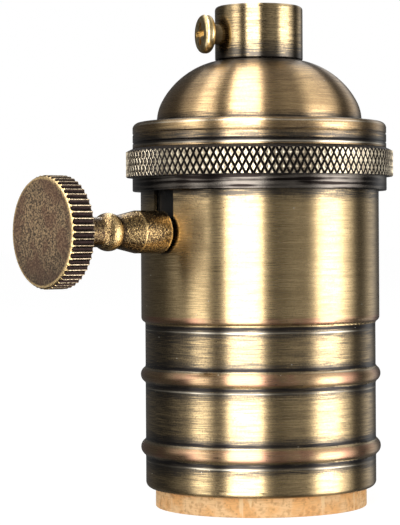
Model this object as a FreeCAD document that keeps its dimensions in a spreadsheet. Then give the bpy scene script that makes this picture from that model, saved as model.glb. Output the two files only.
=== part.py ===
import FreeCAD, Part

import math
import os

import Sketcher

# A turned and drawn brass lamp holder with a knob switch, for a screw lamp cap of 27 mm.
#
# Frame: millimetres.  The origin is on the holder's axis, in the plane of the liner's rim that the
# holder stands on.  +Z points to the cable entry, and the switch knob points along -X.

Vector = FreeCAD.Vector

# Every driving size, with the words that the sheet shows beside it.
SIZES = {
    # the outer shell, drawn from sheet brass
    "shell_wall": (0.5, "wall of the outer shell"),
    "body_radius": (17.3, "outside radius of the shell below its step"),
    "waist_step": (0.6, "how much wider the shell is above its step"),
    "shell_foot": (2.85, "height of the shell's lower edge above the liner's rim"),
    "foot_round": (0.9, "outside radius of the curled foot"),
    "lip_reach": (1.3, "how far the curled foot reaches in from the outside radius"),
    "bead_rise": (0.72, "how far a bead stands out of the wall"),
    "bead_round": (1.25, "outside radius of a bead's section"),
    "bead_root": (0.5, "outside radius where a bead leaves the wall"),
    "low_bead": (8.9, "height of the lower bead"),
    "high_bead": (19.75, "height of the upper bead"),
    "step_height": (27.35, "height where the step starts"),
    "step_root": (0.3, "outside radius under the step"),
    "step_round": (0.8, "outside radius over the step"),
    "shaft_height": (41.05, "height of the switch shaft's axis"),
    "flange_reach": (0.5, "how far the shell's top flange stands out of its wall"),
    "slot_width": (4.8, "width of the slot that the switch stem passes"),
    # fits
    "slide_gap": (0.05, "radial clearance of a running or sliding fit"),
    "seat_gap": (0.05, "clearance between faces that a screw or a nut draws together"),
    "loose_gap": (0.1, "radial clearance of an easy fit"),
    # the insulating liner
    "liner_wall": (0.8, "wall of the insulating liner"),
    "liner_gap": (0.15, "radial clearance between the liner and the curled foot"),
    # the ring nut
    "lip_depth": (1.75, "thickness of the ring nut's lower lip"),
    "band_wall": (0.6, "wall of the ring nut's plain band over its thread"),
    "band_height": (2.1, "height of the ring nut's plain band"),
    "knurl_rise": (0.97, "how far the knurled band stands out of the plain band"),
    "knurl_height": (4.3, "height of the knurled band"),
    "knurl_bevel": (0.5, "height of the bevel on the knurled band"),
    "knurl_bevel_width": (1.0, "width of the bevel on the knurled band"),
    # the domed cap
    "skirt_wall": (0.9, "wall of the cap's threaded skirt"),
    "shoulder_wall": (0.57, "how far the cap's shoulder stands out over its thread"),
    "shoulder_height": (3.85, "height of the cap's shoulder"),
    "shoulder_roof": (0.8, "thickness over the cap's shoulder"),
    "shoulder_round": (1.05, "radius of the shoulder's upper edge"),
    "shoulder_round_width": (1.2, "width of that rounding"),
    "shoulder_round_height": (0.8, "height of that rounding"),
    "groove_depth": (0.12, "depth of the two turned grooves"),
    "groove_spread": (0.16, "half the width of a turned groove"),
    "low_groove": (0.75, "height of the lower turned groove over the shoulder's foot"),
    "high_groove": (2.05, "height of the upper turned groove over the shoulder's foot"),
    "ledge_width": (3.67, "width of the flat ledge round the dome"),
    "dome_wall": (0.7, "wall of the dome"),
    "dome_foot": (0.17, "height of the dome's upright foot"),
    "hip_radius": (6.4, "radius of the dome's side"),
    "hip_angle": (28.7, "degrees of the dome's side that the small radius takes"),
    "crown_radius": (12.07, "radius of the dome's upper part"),
    # the neck bush and its screw
    "neck_radius": (6.6, "outside radius of the neck bush"),
    "neck_length": (8.2, "height of the neck bush over the dome"),
    "neck_bore": (4.46, "radius of the bore, tapped for a 10 mm pipe thread"),
    "spigot_radius": (5.6, "radius of the bush where it passes the dome"),
    "swage_radius": (6.25, "radius of the bush where it is swaged under the dome"),
    "swage_depth": (0.75, "depth of the swaged edge"),
    "edge_break": (0.25, "bevel of a turned edge"),
    "rim_round": (0.6, "radius of the neck's upper edge"),
    "screw_rise": (3.87, "height of the neck screw over the bush's foot"),
    "screw_bearing": (164.0, "bearing of the neck screw, in degrees from +X towards +Y"),
    "neck_screw_shank": (1.5, "radius of the neck screw's shank"),
    "neck_screw_point": (0.14, "how far the neck screw's tip stays back in its hole"),
    "neck_screw_stand": (1.15, "gap between the neck and the neck screw's head"),
    "neck_screw_head": (2.9, "radius of the neck screw's head"),
    "neck_head_depth": (1.7, "thickness of the neck screw's head"),
    "neck_head_round": (0.75, "radius of the rounded edges of that head"),
    "recess_width": (0.85, "width of each arm of the cross recess"),
    "recess_span": (3.4, "length of each arm of the cross recess"),
    "recess_depth": (0.9, "depth of the cross recess"),
    # the switch knob, its places measured out from its stem's inner end
    "stem_gap": (0.25, "clearance between the shell and the knob's stem"),
    "taper_start": (4.65, "distance where the stem's taper starts"),
    "bead_start": (8.05, "distance of the stem bead's inner end"),
    "bead_end": (10.85, "distance of the stem bead's outer end"),
    "knob_face": (20.45, "distance of the knob's face"),
    "shaft_reach": (5.85, "distance that the shaft reaches into the knob"),
    "knob_thickness": (3.7, "thickness of the knob's disc"),
    "knob_radius": (8.0, "radius of the knob over its flutes"),
    "knob_bevel": (0.25, "width of the bevel round the face"),
    "knob_bevel_depth": (0.45, "depth of the bevel round the face"),
    "neck_collar": (2.15, "radius of the knob's thin neck"),
    "bead_bulge": (2.2, "radius of the stem bead's curve"),
    "notch_radius": (2.35, "radius of the notch inside the stem bead"),
    "stem_radius": (3.1, "radius of the knob's stem"),
    "flute_radius": (0.42, "radius of the cutter that makes a flute"),
    "flute_offset": (0.1, "how far outside the knob the cutter's centre runs"),
    # the switch inside
    "shaft_radius": (2.0, "radius of the switch shaft"),
    "shaft_flat": (1.5, "distance of the shaft's flat from its axis"),
    "shaft_tail": (12.5, "distance of the shaft's inner end beyond the axis"),
    "tail_room": (0.5, "free length behind the shaft"),
    "ring_thickness": (0.8, "thickness of the shaft's retaining ring"),
    "ring_radius": (3.2, "outside radius of the retaining ring"),
    "ring_seat": (1.6, "radius of the shaft's groove for the retaining ring"),
    "ring_mouth": (2.88, "width of the retaining ring's mouth"),
    "hub_radius": (2.9, "radius of the rotor's hub"),
    "drum_radius": (4.6, "radius of the rotor's drum"),
    "drum_length": (8.0, "length of the rotor's drum"),
    "cam_flat": (3.5, "distance of the rotor cam's flats from its axis"),
    "cam_corner": (4.5, "distance of the rotor cam's corners from its axis"),
    "cam_length": (3.4, "length of the rotor's cam"),
    "band_thickness": (0.5, "thickness of the rotor's contact band"),
    "band_width": (5.0, "width of the contact band and of the fixed contacts"),
    "band_overlap": (10.0, "degrees that the contact band passes a half turn at each end"),
    # the insulating core
    "core_gap": (0.2, "radial clearance between the core and the shell"),
    "seat_lift": (0.8, "height of the core's seat over the start of the shell's step"),
    "spigot_length": (5.15, "length of the core's spigot inside the liner"),
    "boss_radius": (6.2, "radius of the boss under the centre contact"),
    "boss_height": (2.0, "height of that boss"),
    "cover_thickness": (3.0, "thickness of the core's cover below the shell's top"),
    "rim_thickness": (0.8, "thickness of the cover's clamped rim"),
    "chamber_front": (10.0, "distance of the switch chamber's front wall"),
    "chamber_back": (9.0, "distance of the switch chamber's back wall"),
    "chamber_wall": (3.5, "wall between the switch chamber and a terminal pocket"),
    "leaf_room": (0.45, "room behind a fixed contact in the switch chamber"),
    "rivet_room": (0.6, "room between the contact band and the contact rivet"),
    "cover_room": (0.2, "room between the contact band and the cover"),
    "pocket_width": (10.0, "width of a terminal pocket"),
    "foot_room": (1.05, "room under a terminal plate"),
    "window_depth": (4.8, "depth of a wire window in the cover"),
    "window_width": (9.0, "width of a wire window in the cover"),
    "cover_screw_across": (11.9, "distance of the cover screws along X"),
    "cover_screw_aside": (8.1, "distance of the cover screws along Y"),
    "cover_screw_shank": (1.25, "radius of a cover screw's shank"),
    "cover_screw_head": (2.3, "radius of a cover screw's head"),
    "cover_screw_length": (9.0, "length of a cover screw under its head"),
    "cover_head_depth": (1.3, "thickness of a cover screw's head"),
    "spring_leaf": (0.4, "thickness of the detent spring"),
    "spring_shelf": (1.5, "length of the detent spring's seat on each side"),
    # terminals and contacts, stamped from brass strip
    "strip": (0.6, "thickness of the terminal and contact strip"),
    "strip_bend": (0.15, "inside radius of a bend in the strip"),
    "contact_gap": (0.3, "free gap between the contact band and a fixed contact"),
    "leaf_drop": (3.0, "how far the line contact reaches below the shaft's axis"),
    "plate_foot": (4.0, "how far a terminal plate reaches below the shaft's axis"),
    "plate_width": (8.0, "width of a terminal plate"),
    "binder_shank": (1.75, "radius of a binding screw's shank"),
    "binder_head": (3.0, "radius of a binding screw's head"),
    "binder_depth": (2.0, "thickness of a binding screw's head"),
    "binder_length": (3.0, "length of a binding screw under its head"),
    "slot_cut": (0.8, "width of a screwdriver slot"),
    # the lamp side
    "shell_sheet": (0.4, "wall of the screw shell"),
    "mouth_height": (3.2, "height of the screw shell's mouth"),
    "mouth_flare": (1.15, "how much wider than the thread the screw shell's plain mouth is"),
    "mouth_length": (2.6, "length of the plain mouth"),
    "crest_radius": (12.25, "inside radius over the crests of the lamp thread"),
    "eye_radius": (6.6, "radius of the hole in the screw shell's end plate"),
    "shell_screw_across": (8.5, "distance of the screw shell's screws from the axis"),
    "shell_screw_shank": (1.25, "radius of a shell screw's shank"),
    "shell_screw_head": (1.9, "radius of a shell screw's head"),
    "shell_head_depth": (1.1, "thickness of a shell screw's head"),
    "shell_screw_length": (7.4, "length of a shell screw under its head"),
    "rivet_aside": (3.5, "distance of the contact rivet from the axis"),
    "rivet_radius": (1.0, "radius of the contact rivet"),
    "rivet_head": (1.7, "radius of the contact rivet's heads"),
    "rivet_head_depth": (0.7, "thickness of the contact rivet's heads"),
    "leaf_drop_centre": (2.3, "how far the centre contact springs down from its seat"),
    "leaf_toe": (0.8, "distance of the centre contact's lowest point beyond the axis"),
    "leaf_curl": (2.55, "radius of the centre contact's curled end"),
    "leaf_curl_rise": (0.75, "height that the curled end rises again"),
}

FLUTES = 52


class Size:
    """A size and the sheet expression that gives it, so that maths on one is maths on both."""

    def __init__(self, value, text):
        self.value = value
        self.text = text

    @staticmethod
    def of(thing):
        """Take a plain number as a size."""
        if isinstance(thing, Size):
            return thing
        return Size(float(thing), repr(float(thing)))

    def __add__(self, other):
        other = Size.of(other)
        return Size(self.value + other.value, f"({self.text} + {other.text})")

    def __sub__(self, other):
        other = Size.of(other)
        return Size(self.value - other.value, f"({self.text} - {other.text})")

    def __mul__(self, other):
        other = Size.of(other)
        return Size(self.value * other.value, f"({self.text} * {other.text})")

    def __truediv__(self, other):
        other = Size.of(other)
        return Size(self.value / other.value, f"({self.text} / {other.text})")

    def __radd__(self, other):
        return Size.of(other) + self

    def __rsub__(self, other):
        return Size.of(other) - self

    def __rmul__(self, other):
        return Size.of(other) * self

    def __neg__(self):
        return Size(-self.value, f"(0 - {self.text})")


def root(size):
    """Give the square root of a size."""
    return Size(math.sqrt(size.value), f"sqrt({size.text})")


def sine(angle):
    """Give the sine of an angle in degrees."""
    return Size(math.sin(math.radians(angle.value)), f"sin({angle.text} * 1 deg)")


def cosine(angle):
    """Give the cosine of an angle in degrees."""
    return Size(math.cos(math.radians(angle.value)), f"cos({angle.text} * 1 deg)")


class Sizes:
    """The document's sheet of driving sizes, read by name."""

    def __init__(self, doc):
        self.sheet = doc.addObject("Spreadsheet::Sheet", "Dimensions")
        for row, (name, (value, words)) in enumerate(SIZES.items(), start=1):
            self.sheet.set(f"A{row}", name)
            self.sheet.set(f"B{row}", str(value))
            self.sheet.set(f"C{row}", words)
            self.sheet.setAlias(f"B{row}", name)
        doc.recompute()

    def __getattr__(self, name):
        return Size(float(getattr(self.sheet, name)), f"Dimensions.{name}")


def bind(thing, name, size):
    """Set a property path of an object, and tie it to the sheet."""
    thing.setExpression(name, Size.of(size).text)


# --------------------------------------------------------------------------------------------
# drawing and features


def new_body(doc, label):
    """Start the body of one sub-part."""
    body = doc.addObject("PartDesign::Body", label)
    body.Label = label
    return body


def sketch_on(body, role, lift=0.0, rise=0.0):
    """Start a sketch on one of the body's own origin planes, lifted off it and moved up it."""
    plane = next(item for item in body.Origin.OriginFeatures if item.Role == role)
    sketch = body.newObject("Sketcher::SketchObject", body.Label + "_sketch")
    sketch.AttachmentSupport = [(plane, "")]
    sketch.MapMode = "FlatFace"
    bind(sketch, "AttachmentOffset.Base.z", lift)
    bind(sketch, "AttachmentOffset.Base.y", rise)
    return sketch


def hold_point(sketch, edge, end, across, up):
    """Tie a point of a sketch to its place."""
    for kind, size in (("DistanceX", Size.of(across)), ("DistanceY", Size.of(up))):
        index = sketch.addConstraint(Sketcher.Constraint(kind, -1, 1, edge, end, size.value))
        bind(sketch, f"Constraints[{index}]", size)


def hold_radius(sketch, edge, radius):
    """Tie the radius of an arc or a circle."""
    radius = Size.of(radius)
    index = sketch.addConstraint(Sketcher.Constraint("Radius", edge, radius.value))
    bind(sketch, f"Constraints[{index}]", radius)


def circle(sketch, across, up, radius):
    """Draw a circle."""
    across, up, radius = Size.of(across), Size.of(up), Size.of(radius)
    centre = Vector(across.value, up.value, 0)
    edge = sketch.addGeometry(Part.Circle(centre, Vector(0, 0, 1), radius.value), False)
    hold_point(sketch, edge, 3, across, up)
    hold_radius(sketch, edge, radius)


class Outline:
    """A closed outline of straight and round runs, each end of a run tied to the sheet."""

    def __init__(self, sketch, across, up):
        self.sketch = sketch
        self.start = (Size.of(across), Size.of(up))
        self.here = self.start
        self.first_end = None
        self.last_end = None

    def _join(self, edge, tail, head, across, up):
        if self.last_end is None:
            self.first_end = (edge, tail)
            hold_point(self.sketch, edge, tail, *self.here)
        else:
            self.sketch.addConstraint(
                Sketcher.Constraint("Coincident", *self.last_end, edge, tail))
        self.last_end = (edge, head)
        self.here = (across, up)

    def _places(self, across, up):
        begin = Vector(self.here[0].value, self.here[1].value, 0)
        return begin, Vector(across.value, up.value, 0)

    def line_to(self, across, up):
        """Draw a straight run."""
        across, up = Size.of(across), Size.of(up)
        begin, finish = self._places(across, up)
        edge = self.sketch.addGeometry(Part.LineSegment(begin, finish), False)
        self._join(edge, 1, 2, across, up)
        hold_point(self.sketch, edge, 2, across, up)
        return self

    def arc_to(self, across, up, radius, left):
        """Draw a round run of less than half a turn, turning left or right."""
        across, up, radius = Size.of(across), Size.of(up), Size.of(radius)
        begin, finish = self._places(across, up)
        chord = finish - begin
        height = math.sqrt(max(radius.value ** 2 - chord.Length ** 2 / 4, 0.0))
        side = Vector(-chord.y, chord.x, 0).normalize()
        centre = (begin + finish) / 2 + side * (height if left else -height)
        ring = Part.Circle(centre, Vector(0, 0, 1), radius.value)
        tail, head = (begin, finish) if left else (finish, begin)
        angles = [math.atan2(end.y - centre.y, end.x - centre.x) for end in (tail, head)]
        edge = self.sketch.addGeometry(Part.ArcOfCircle(ring, *angles), False)
        self._join(edge, 1 if left else 2, 2 if left else 1, across, up)
        hold_point(self.sketch, edge, 2 if left else 1, across, up)
        hold_radius(self.sketch, edge, radius)
        return self

    def close(self):
        """Draw the straight run back to the start."""
        begin, finish = self._places(*self.start)
        edge = self.sketch.addGeometry(Part.LineSegment(begin, finish), False)
        self.sketch.addConstraint(Sketcher.Constraint("Coincident", *self.last_end, edge, 1))
        self.sketch.addConstraint(Sketcher.Constraint("Coincident", edge, 2, *self.first_end))
        return self.sketch


def rectangle(sketch, left, right, low, high):
    """Draw an upright rectangle."""
    outline = Outline(sketch, left, low)
    outline.line_to(right, low).line_to(right, high).line_to(left, high)
    return outline.close()


def upright_axis(sketch, across):
    """Draw a construction line to turn a profile about."""
    across = Size.of(across)
    ends = [Vector(across.value, up, 0) for up in (0.0, 1.0)]
    edge = sketch.addGeometry(Part.LineSegment(*ends), True)
    hold_point(sketch, edge, 1, across, 0.0)
    hold_point(sketch, edge, 2, across, 1.0)
    return "Axis0"


def volume_of(body):
    """Give the volume that the body has so far."""
    body.Document.recompute()
    return body.Shape.Volume


def add_feature(body, kind, sketch):
    """Add a sketch-based feature to a body."""
    feature = body.newObject(kind, body.Label + "_" + kind.split("::")[1].lower())
    feature.Profile = (sketch, [""])
    sketch.Visibility = False
    return feature


def turned(body, sketch, axis="V_Axis", kind="PartDesign::Revolution"):
    """Turn a profile into a solid, or a groove, about an axis of its sketch."""
    before = volume_of(body) if kind == "PartDesign::Groove" else None
    feature = add_feature(body, kind, sketch)
    feature.ReferenceAxis = (sketch, [axis])
    feature.Angle = 360.0
    if before is not None and volume_of(body) >= before:
        raise RuntimeError(f"{feature.Label} cuts nothing")
    return feature


def padded(body, sketch, length, centred=False):
    """Pad a sketch along its normal, or half to each side of it."""
    feature = add_feature(body, "PartDesign::Pad", sketch)
    bind(feature, "Length", length)
    feature.Midplane = centred
    return feature


def pocketed(body, sketch, length, centred=False, forward=False):
    """Cut a sketch against its normal, or half to each side of it, or forward along it."""
    before = volume_of(body)
    feature = add_feature(body, "PartDesign::Pocket", sketch)
    bind(feature, "Length", length)
    feature.Midplane = centred
    feature.Reversed = forward
    if volume_of(body) >= before:
        raise RuntimeError(f"{feature.Label} cuts nothing")
    return feature


def repeated(body, originals, axis, count):
    """Repeat features evenly round an axis of the body's origin."""
    body.Document.recompute()
    pattern = body.newObject("PartDesign::PolarPattern", body.Label + "_pattern")
    pattern.Originals = originals
    line = next(item for item in body.Origin.OriginFeatures if item.Role == axis)
    pattern.Axis = (line, [""])
    pattern.Angle = 360.0
    pattern.Occurrences = count
    body.Tip = pattern
    return pattern


def screw_profile(sketch, at, tip, seat, shank, head, depth, way):
    """Draw half the section of a pan-head screw whose head lies towards way, 1 up or -1 down."""
    cheek = depth / 2
    dome = (head * head + cheek * cheek) / (2 * cheek)
    point = shank / 3
    outline = Outline(sketch, at, tip)
    outline.line_to(at + shank - point, tip)
    outline.line_to(at + shank, tip + way * point)
    outline.line_to(at + shank, seat)
    outline.line_to(at + head, seat)
    outline.line_to(at + head, seat + way * cheek)
    outline.arc_to(at, seat + way * depth, dome, left=way > 0)
    return outline.close()


def bent_strip(sketch, corners, thickness, bend):
    """Draw the edge of a bent strip: corners are its left face's, and its runs are square."""
    corners = [(Size.of(across), Size.of(up)) for across, up in corners]
    ways = []
    for begin, finish in zip(corners, corners[1:]):
        across = finish[0].value - begin[0].value
        up = finish[1].value - begin[1].value
        ways.append((round(across / math.hypot(across, up)), round(up / math.hypot(across, up))))
    padded_ways = [ways[0]] + ways + [ways[-1]]
    far = []
    for index, (across, up) in enumerate(corners):
        before, after = padded_ways[index], padded_ways[index + 1]
        shift = (before[1], -before[0])
        if before != after:
            shift = (before[1] + after[1], -before[0] - after[0])
        far.append((across + thickness * shift[0], up + thickness * shift[1]))

    outline = Outline(sketch, *corners[0])

    def run(points, directions):
        for index in range(1, len(points) - 1):
            before, after = directions[index - 1], directions[index]
            left = before[0] * after[1] - before[1] * after[0] > 0
            radius = bend if left else bend + thickness
            across, up = points[index]
            outline.line_to(across - radius * before[0], up - radius * before[1])
            outline.arc_to(across + radius * after[0], up + radius * after[1], radius, left)
        outline.line_to(*points[-1])

    run(corners, ways)
    outline.line_to(*far[-1])
    run(far[::-1], [(-across, -up) for across, up in ways[::-1]])
    return outline.close()


# --------------------------------------------------------------------------------------------
# places that several sub-parts share


class Places:
    """Sizes and heights worked out from the driving sizes."""

    def __init__(self, size):
        # radii of the shell, the cap and the ring nut
        self.upper_radius = size.body_radius + size.waist_step
        self.upper_bore = self.upper_radius - size.shell_wall
        self.thread_radius = self.upper_radius + size.flange_reach + size.loose_gap
        self.flange_radius = self.upper_radius + size.flange_reach
        self.band_radius = self.thread_radius + size.band_wall
        self.shoulder_radius = self.thread_radius + size.shoulder_wall
        self.dome_radius = self.shoulder_radius - size.ledge_width
        self.skirt_bore = self.thread_radius - size.skirt_wall

        # radii of the liner and the core
        self.lip_radius = size.body_radius - size.lip_reach
        self.liner_radius = self.lip_radius - size.liner_gap
        self.liner_bore = self.liner_radius - size.liner_wall
        self.spigot_radius = self.liner_bore - size.slide_gap
        self.core_radius = self.upper_bore - size.core_gap

        # the switch, from its drum out to the terminals
        self.band_inside = size.drum_radius + size.slide_gap
        self.band_outside = self.band_inside + size.band_thickness
        self.contact_face = self.band_outside + size.contact_gap
        self.chamber_side = self.contact_face + size.strip + size.leaf_room
        self.pocket_side = self.chamber_side + size.chamber_wall
        self.plate_face = self.pocket_side + size.seat_gap
        self.under_band = self.band_outside + size.rivet_room + size.rivet_head_depth

        # heights, from the lamp's side up
        self.core_seat = size.step_height + size.seat_lift
        self.core_foot = self.core_seat - size.spigot_length
        self.boss_foot = self.core_foot - size.boss_height
        self.chamber_floor = size.shaft_height - self.under_band - size.strip
        self.pocket_floor = size.shaft_height - size.plate_foot - size.foot_room
        self.core_top = size.shaft_height + self.band_outside + size.cover_room
        self.shell_top = self.core_top + size.cover_thickness
        self.cover_top = self.shell_top + size.rim_thickness
        self.ring_lip = self.shell_top - size.shell_wall - size.seat_gap
        self.ring_foot = self.ring_lip - size.lip_depth
        self.knurl_foot = self.ring_foot + size.band_height
        self.ring_top = self.knurl_foot + size.knurl_height
        self.skirt_foot = self.cover_top + size.seat_gap
        self.shoulder_foot = self.ring_top + size.seat_gap
        self.shoulder_top = self.shoulder_foot + size.shoulder_height
        self.dome_base = self.shoulder_top + size.dome_foot

        # the dome's two arcs: the side's centre, the crown's centre, and the flat on top
        self.hip_across = self.dome_radius - size.hip_radius
        rise = size.hip_radius - size.crown_radius
        self.crown_across = self.hip_across + rise * cosine(size.hip_angle)
        self.crown_height = self.dome_base + rise * sine(size.hip_angle)
        self.dome_top = self.on_crown(size.crown_radius, size.neck_radius)
        self.neck_top = self.dome_top + size.neck_length
        self.screw_height = self.dome_top + size.screw_rise

        # distances along the switch shaft
        self.rotor_back = size.chamber_back - size.seat_gap
        self.clip_place = size.chamber_front - size.seat_gap - size.ring_thickness
        self.rotor_front = self.clip_place - size.seat_gap
        self.stem_end = self.upper_radius + size.stem_gap
        self.shaft_end = self.stem_end + size.shaft_reach
        self.knob_face = self.stem_end + size.knob_face

    def on_crown(self, radius, across):
        """Give the height of the dome's crown at a distance from the axis."""
        reach = across - self.crown_across
        return self.crown_height + root(radius * radius - reach * reach)


# --------------------------------------------------------------------------------------------
# the housing


def bead(outline, size, height, inset, upward):
    """Draw a rolled bead on a wall's outside, or inset from it, going up or down."""
    way = 1 if upward else -1
    reach = size.bead_round + size.bead_root
    rise = size.bead_rise
    spread = root(rise * (2 * reach - rise))
    centre = size.body_radius + rise - size.bead_round
    radius = size.bead_round - inset
    meet = centre + radius * (reach - rise) / reach
    tall = radius * spread / reach
    wall = size.body_radius - inset
    outline.line_to(wall, height - way * spread)
    outline.arc_to(meet, height - way * tall, size.bead_root + inset, not upward)
    outline.arc_to(meet, height + way * tall, radius, upward)
    outline.arc_to(wall, height + way * spread, size.bead_root + inset, not upward)


def step(outline, size, inset, upward):
    """Draw the shell's step on its outside, or inset from it, going up or down."""
    reach = size.step_root + size.step_round
    shift = size.waist_step
    tall = root(shift * (2 * reach - shift))
    share = (size.step_root + inset) / reach
    meet = (size.body_radius + size.step_root + share * (shift - reach),
            size.step_height + share * tall)
    low = (size.body_radius - inset, size.step_height)
    high = (size.body_radius + shift - inset, size.step_height + tall)
    under, over = size.step_root + inset, size.step_round - inset
    if upward:
        outline.line_to(*low).arc_to(*meet, under, False).arc_to(*high, over, True)
    else:
        outline.line_to(*high).arc_to(*meet, over, False).arc_to(*low, under, True)


def make_outer_shell(doc, size, place):
    """The drawn shell: curled foot, two rolled beads, a step, a top flange and the stem's slot."""
    body = new_body(doc, "outer_shell")
    sheet, wall = size.shell_wall, size.body_radius
    foot, bend = size.shell_foot, size.foot_round
    outline = Outline(sketch_on(body, "XZ_Plane"), place.lip_radius, foot)
    outline.line_to(wall - bend, foot).arc_to(wall, foot + bend, bend, True)
    bead(outline, size, size.low_bead, 0, True)
    bead(outline, size, size.high_bead, 0, True)
    step(outline, size, 0, True)
    outline.line_to(place.upper_radius, place.shell_top - sheet)
    outline.line_to(place.flange_radius, place.shell_top - sheet)
    outline.line_to(place.flange_radius, place.shell_top)
    outline.line_to(place.upper_bore, place.shell_top)
    step(outline, size, sheet, False)
    bead(outline, size, size.high_bead, sheet, False)
    bead(outline, size, size.low_bead, sheet, False)
    outline.line_to(wall - sheet, foot + bend)
    outline.arc_to(wall - bend, foot + sheet, bend - sheet, False)
    outline.line_to(place.lip_radius, foot + sheet)
    turned(body, outline.close())

    half = size.slot_width / 2
    slot = Outline(sketch_on(body, "YZ_Plane"), -half, place.shell_top + sheet)
    slot.line_to(-half, size.shaft_height)
    slot.arc_to(0, size.shaft_height - half, half, True)
    slot.arc_to(half, size.shaft_height, half, True)
    slot.line_to(half, place.shell_top + sheet)
    pocketed(body, slot.close(), place.flange_radius + sheet)
    return body


def make_liner(doc, size, place):
    """The board tube that insulates the lamp's screw shell from the outer shell."""
    body = new_body(doc, "insulating_liner")
    sketch = sketch_on(body, "XZ_Plane")
    rectangle(sketch, place.liner_bore, place.liner_radius, 0, place.core_seat - size.seat_gap)
    turned(body, sketch)
    return body


def make_lock_ring(doc, size, place):
    """The ring nut that draws the cap down on the shell's flange."""
    body = new_body(doc, "lock_ring")
    knurl = place.band_radius + size.knurl_rise
    bore = place.thread_radius + size.slide_gap
    hold = place.upper_radius + size.loose_gap
    bevel = place.ring_top - size.knurl_bevel
    outline = Outline(sketch_on(body, "XZ_Plane"), hold, place.ring_foot)
    outline.line_to(place.band_radius, place.ring_foot)
    outline.line_to(place.band_radius, place.knurl_foot)
    outline.line_to(knurl, place.knurl_foot)
    outline.line_to(knurl, bevel)
    outline.line_to(knurl - size.knurl_bevel_width, place.ring_top)
    outline.line_to(bore, place.ring_top)
    outline.line_to(bore, place.ring_lip)
    outline.line_to(hold, place.ring_lip)
    turned(body, outline.close())
    return body


def make_dome_cap(doc, size, place):
    """The cap: a threaded skirt, a grooved shoulder and a thin dome."""
    body = new_body(doc, "dome_cap")
    shoulder, ledge = place.shoulder_radius, place.shoulder_top
    outline = Outline(sketch_on(body, "XZ_Plane"), place.skirt_bore, place.skirt_foot)
    outline.line_to(place.thread_radius - size.edge_break, place.skirt_foot)
    outline.line_to(place.thread_radius, place.skirt_foot + size.edge_break)
    outline.line_to(place.thread_radius, place.shoulder_foot)
    outline.line_to(shoulder, place.shoulder_foot)
    for rise in (size.low_groove, size.high_groove):
        middle = place.shoulder_foot + rise
        outline.line_to(shoulder, middle - size.groove_spread)
        outline.line_to(shoulder - size.groove_depth, middle)
        outline.line_to(shoulder, middle + size.groove_spread)
    outline.line_to(shoulder, ledge - size.shoulder_round_height)
    outline.arc_to(shoulder - size.shoulder_round_width, ledge, size.shoulder_round, True)
    outline.line_to(place.dome_radius, ledge)
    outline.line_to(place.dome_radius, place.dome_base)

    def side_end(radius):
        return (place.hip_across + radius * cosine(size.hip_angle),
                place.dome_base + radius * sine(size.hip_angle))

    hip, crown = size.hip_radius - size.dome_wall, size.crown_radius - size.dome_wall
    eye = size.spigot_radius + size.slide_gap
    ceiling = place.dome_top - size.dome_wall
    drop = ceiling - place.crown_height
    outline.arc_to(*side_end(size.hip_radius), size.hip_radius, True)
    outline.arc_to(size.neck_radius, place.dome_top, size.crown_radius, True)
    outline.line_to(eye, place.dome_top)
    outline.line_to(eye, ceiling)
    outline.line_to(place.crown_across + root(crown * crown - drop * drop), ceiling)
    outline.arc_to(*side_end(hip), crown, False)
    outline.arc_to(place.dome_radius - size.dome_wall, place.dome_base, hip, False)
    outline.line_to(place.dome_radius - size.dome_wall, ledge - size.shoulder_roof)
    outline.line_to(place.skirt_bore, ledge - size.shoulder_roof)
    turned(body, outline.close())
    return body


def make_neck_bush(doc, size, place):
    """The cable entry: a turned bush swaged into the dome, with a hole for its grip screw."""
    body = new_body(doc, "neck_bush")
    bore, outside, small = size.neck_bore, size.neck_radius, size.edge_break
    ceiling = place.dome_top - size.dome_wall
    outline = Outline(sketch_on(body, "XZ_Plane"), bore, ceiling - size.swage_depth)
    outline.line_to(size.swage_radius - small, ceiling - size.swage_depth)
    outline.line_to(size.swage_radius, ceiling - size.swage_depth + small)
    outline.line_to(size.swage_radius, ceiling)
    outline.line_to(size.spigot_radius, ceiling)
    outline.line_to(size.spigot_radius, place.dome_top)
    outline.line_to(outside - small, place.dome_top)
    outline.line_to(outside, place.dome_top + small)
    outline.line_to(outside, place.neck_top - size.rim_round)
    outline.arc_to(outside - size.rim_round, place.neck_top, size.rim_round, True)
    outline.line_to(bore + small, place.neck_top)
    outline.line_to(bore, place.neck_top - small)
    turned(body, outline.close())

    sketch = sketch_on(body, "YZ_Plane", lift=2 * outside)
    circle(sketch, 0, place.screw_height, size.neck_screw_shank + size.slide_gap)
    pocketed(body, sketch, 2 * outside)
    bind(body, "Placement.Rotation.Angle", size.screw_bearing)
    return body


def make_neck_screw(doc, size, place):
    """The round-edged screw in the side of the neck, which grips what is screwed into the bush."""
    body = new_body(doc, "neck_screw")
    shank, head, bend = size.neck_screw_shank, size.neck_screw_head, size.neck_head_round
    point = shank / 3
    tip = size.neck_bore + size.neck_screw_point
    seat = size.neck_radius + size.neck_screw_stand
    face = seat + size.neck_head_depth
    sketch = sketch_on(body, "XZ_Plane", rise=place.screw_height)
    outline = Outline(sketch, tip, 0)
    outline.line_to(tip, shank - point)
    outline.line_to(tip + point, shank)
    outline.line_to(seat, shank)
    outline.line_to(seat, head - bend).arc_to(seat + bend, head, bend, False)
    outline.line_to(face - bend, head).arc_to(face, head - bend, bend, False)
    outline.line_to(face, 0)
    turned(body, outline.close(), axis="H_Axis")

    half, span = size.recess_width / 2, size.recess_span / 2
    recess = sketch_on(body, "YZ_Plane", lift=face, rise=place.screw_height)
    cross = Outline(recess, -span, -half)
    corners = ((-half, -half), (-half, -span), (half, -span), (half, -half), (span, -half),
               (span, half), (half, half), (half, span), (-half, span), (-half, half),
               (-span, half))
    for across, up in corners:
        cross.line_to(across, up)
    pocketed(body, cross.close(), size.recess_depth)
    bind(body, "Placement.Rotation.Angle", size.screw_bearing)
    return body


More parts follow.
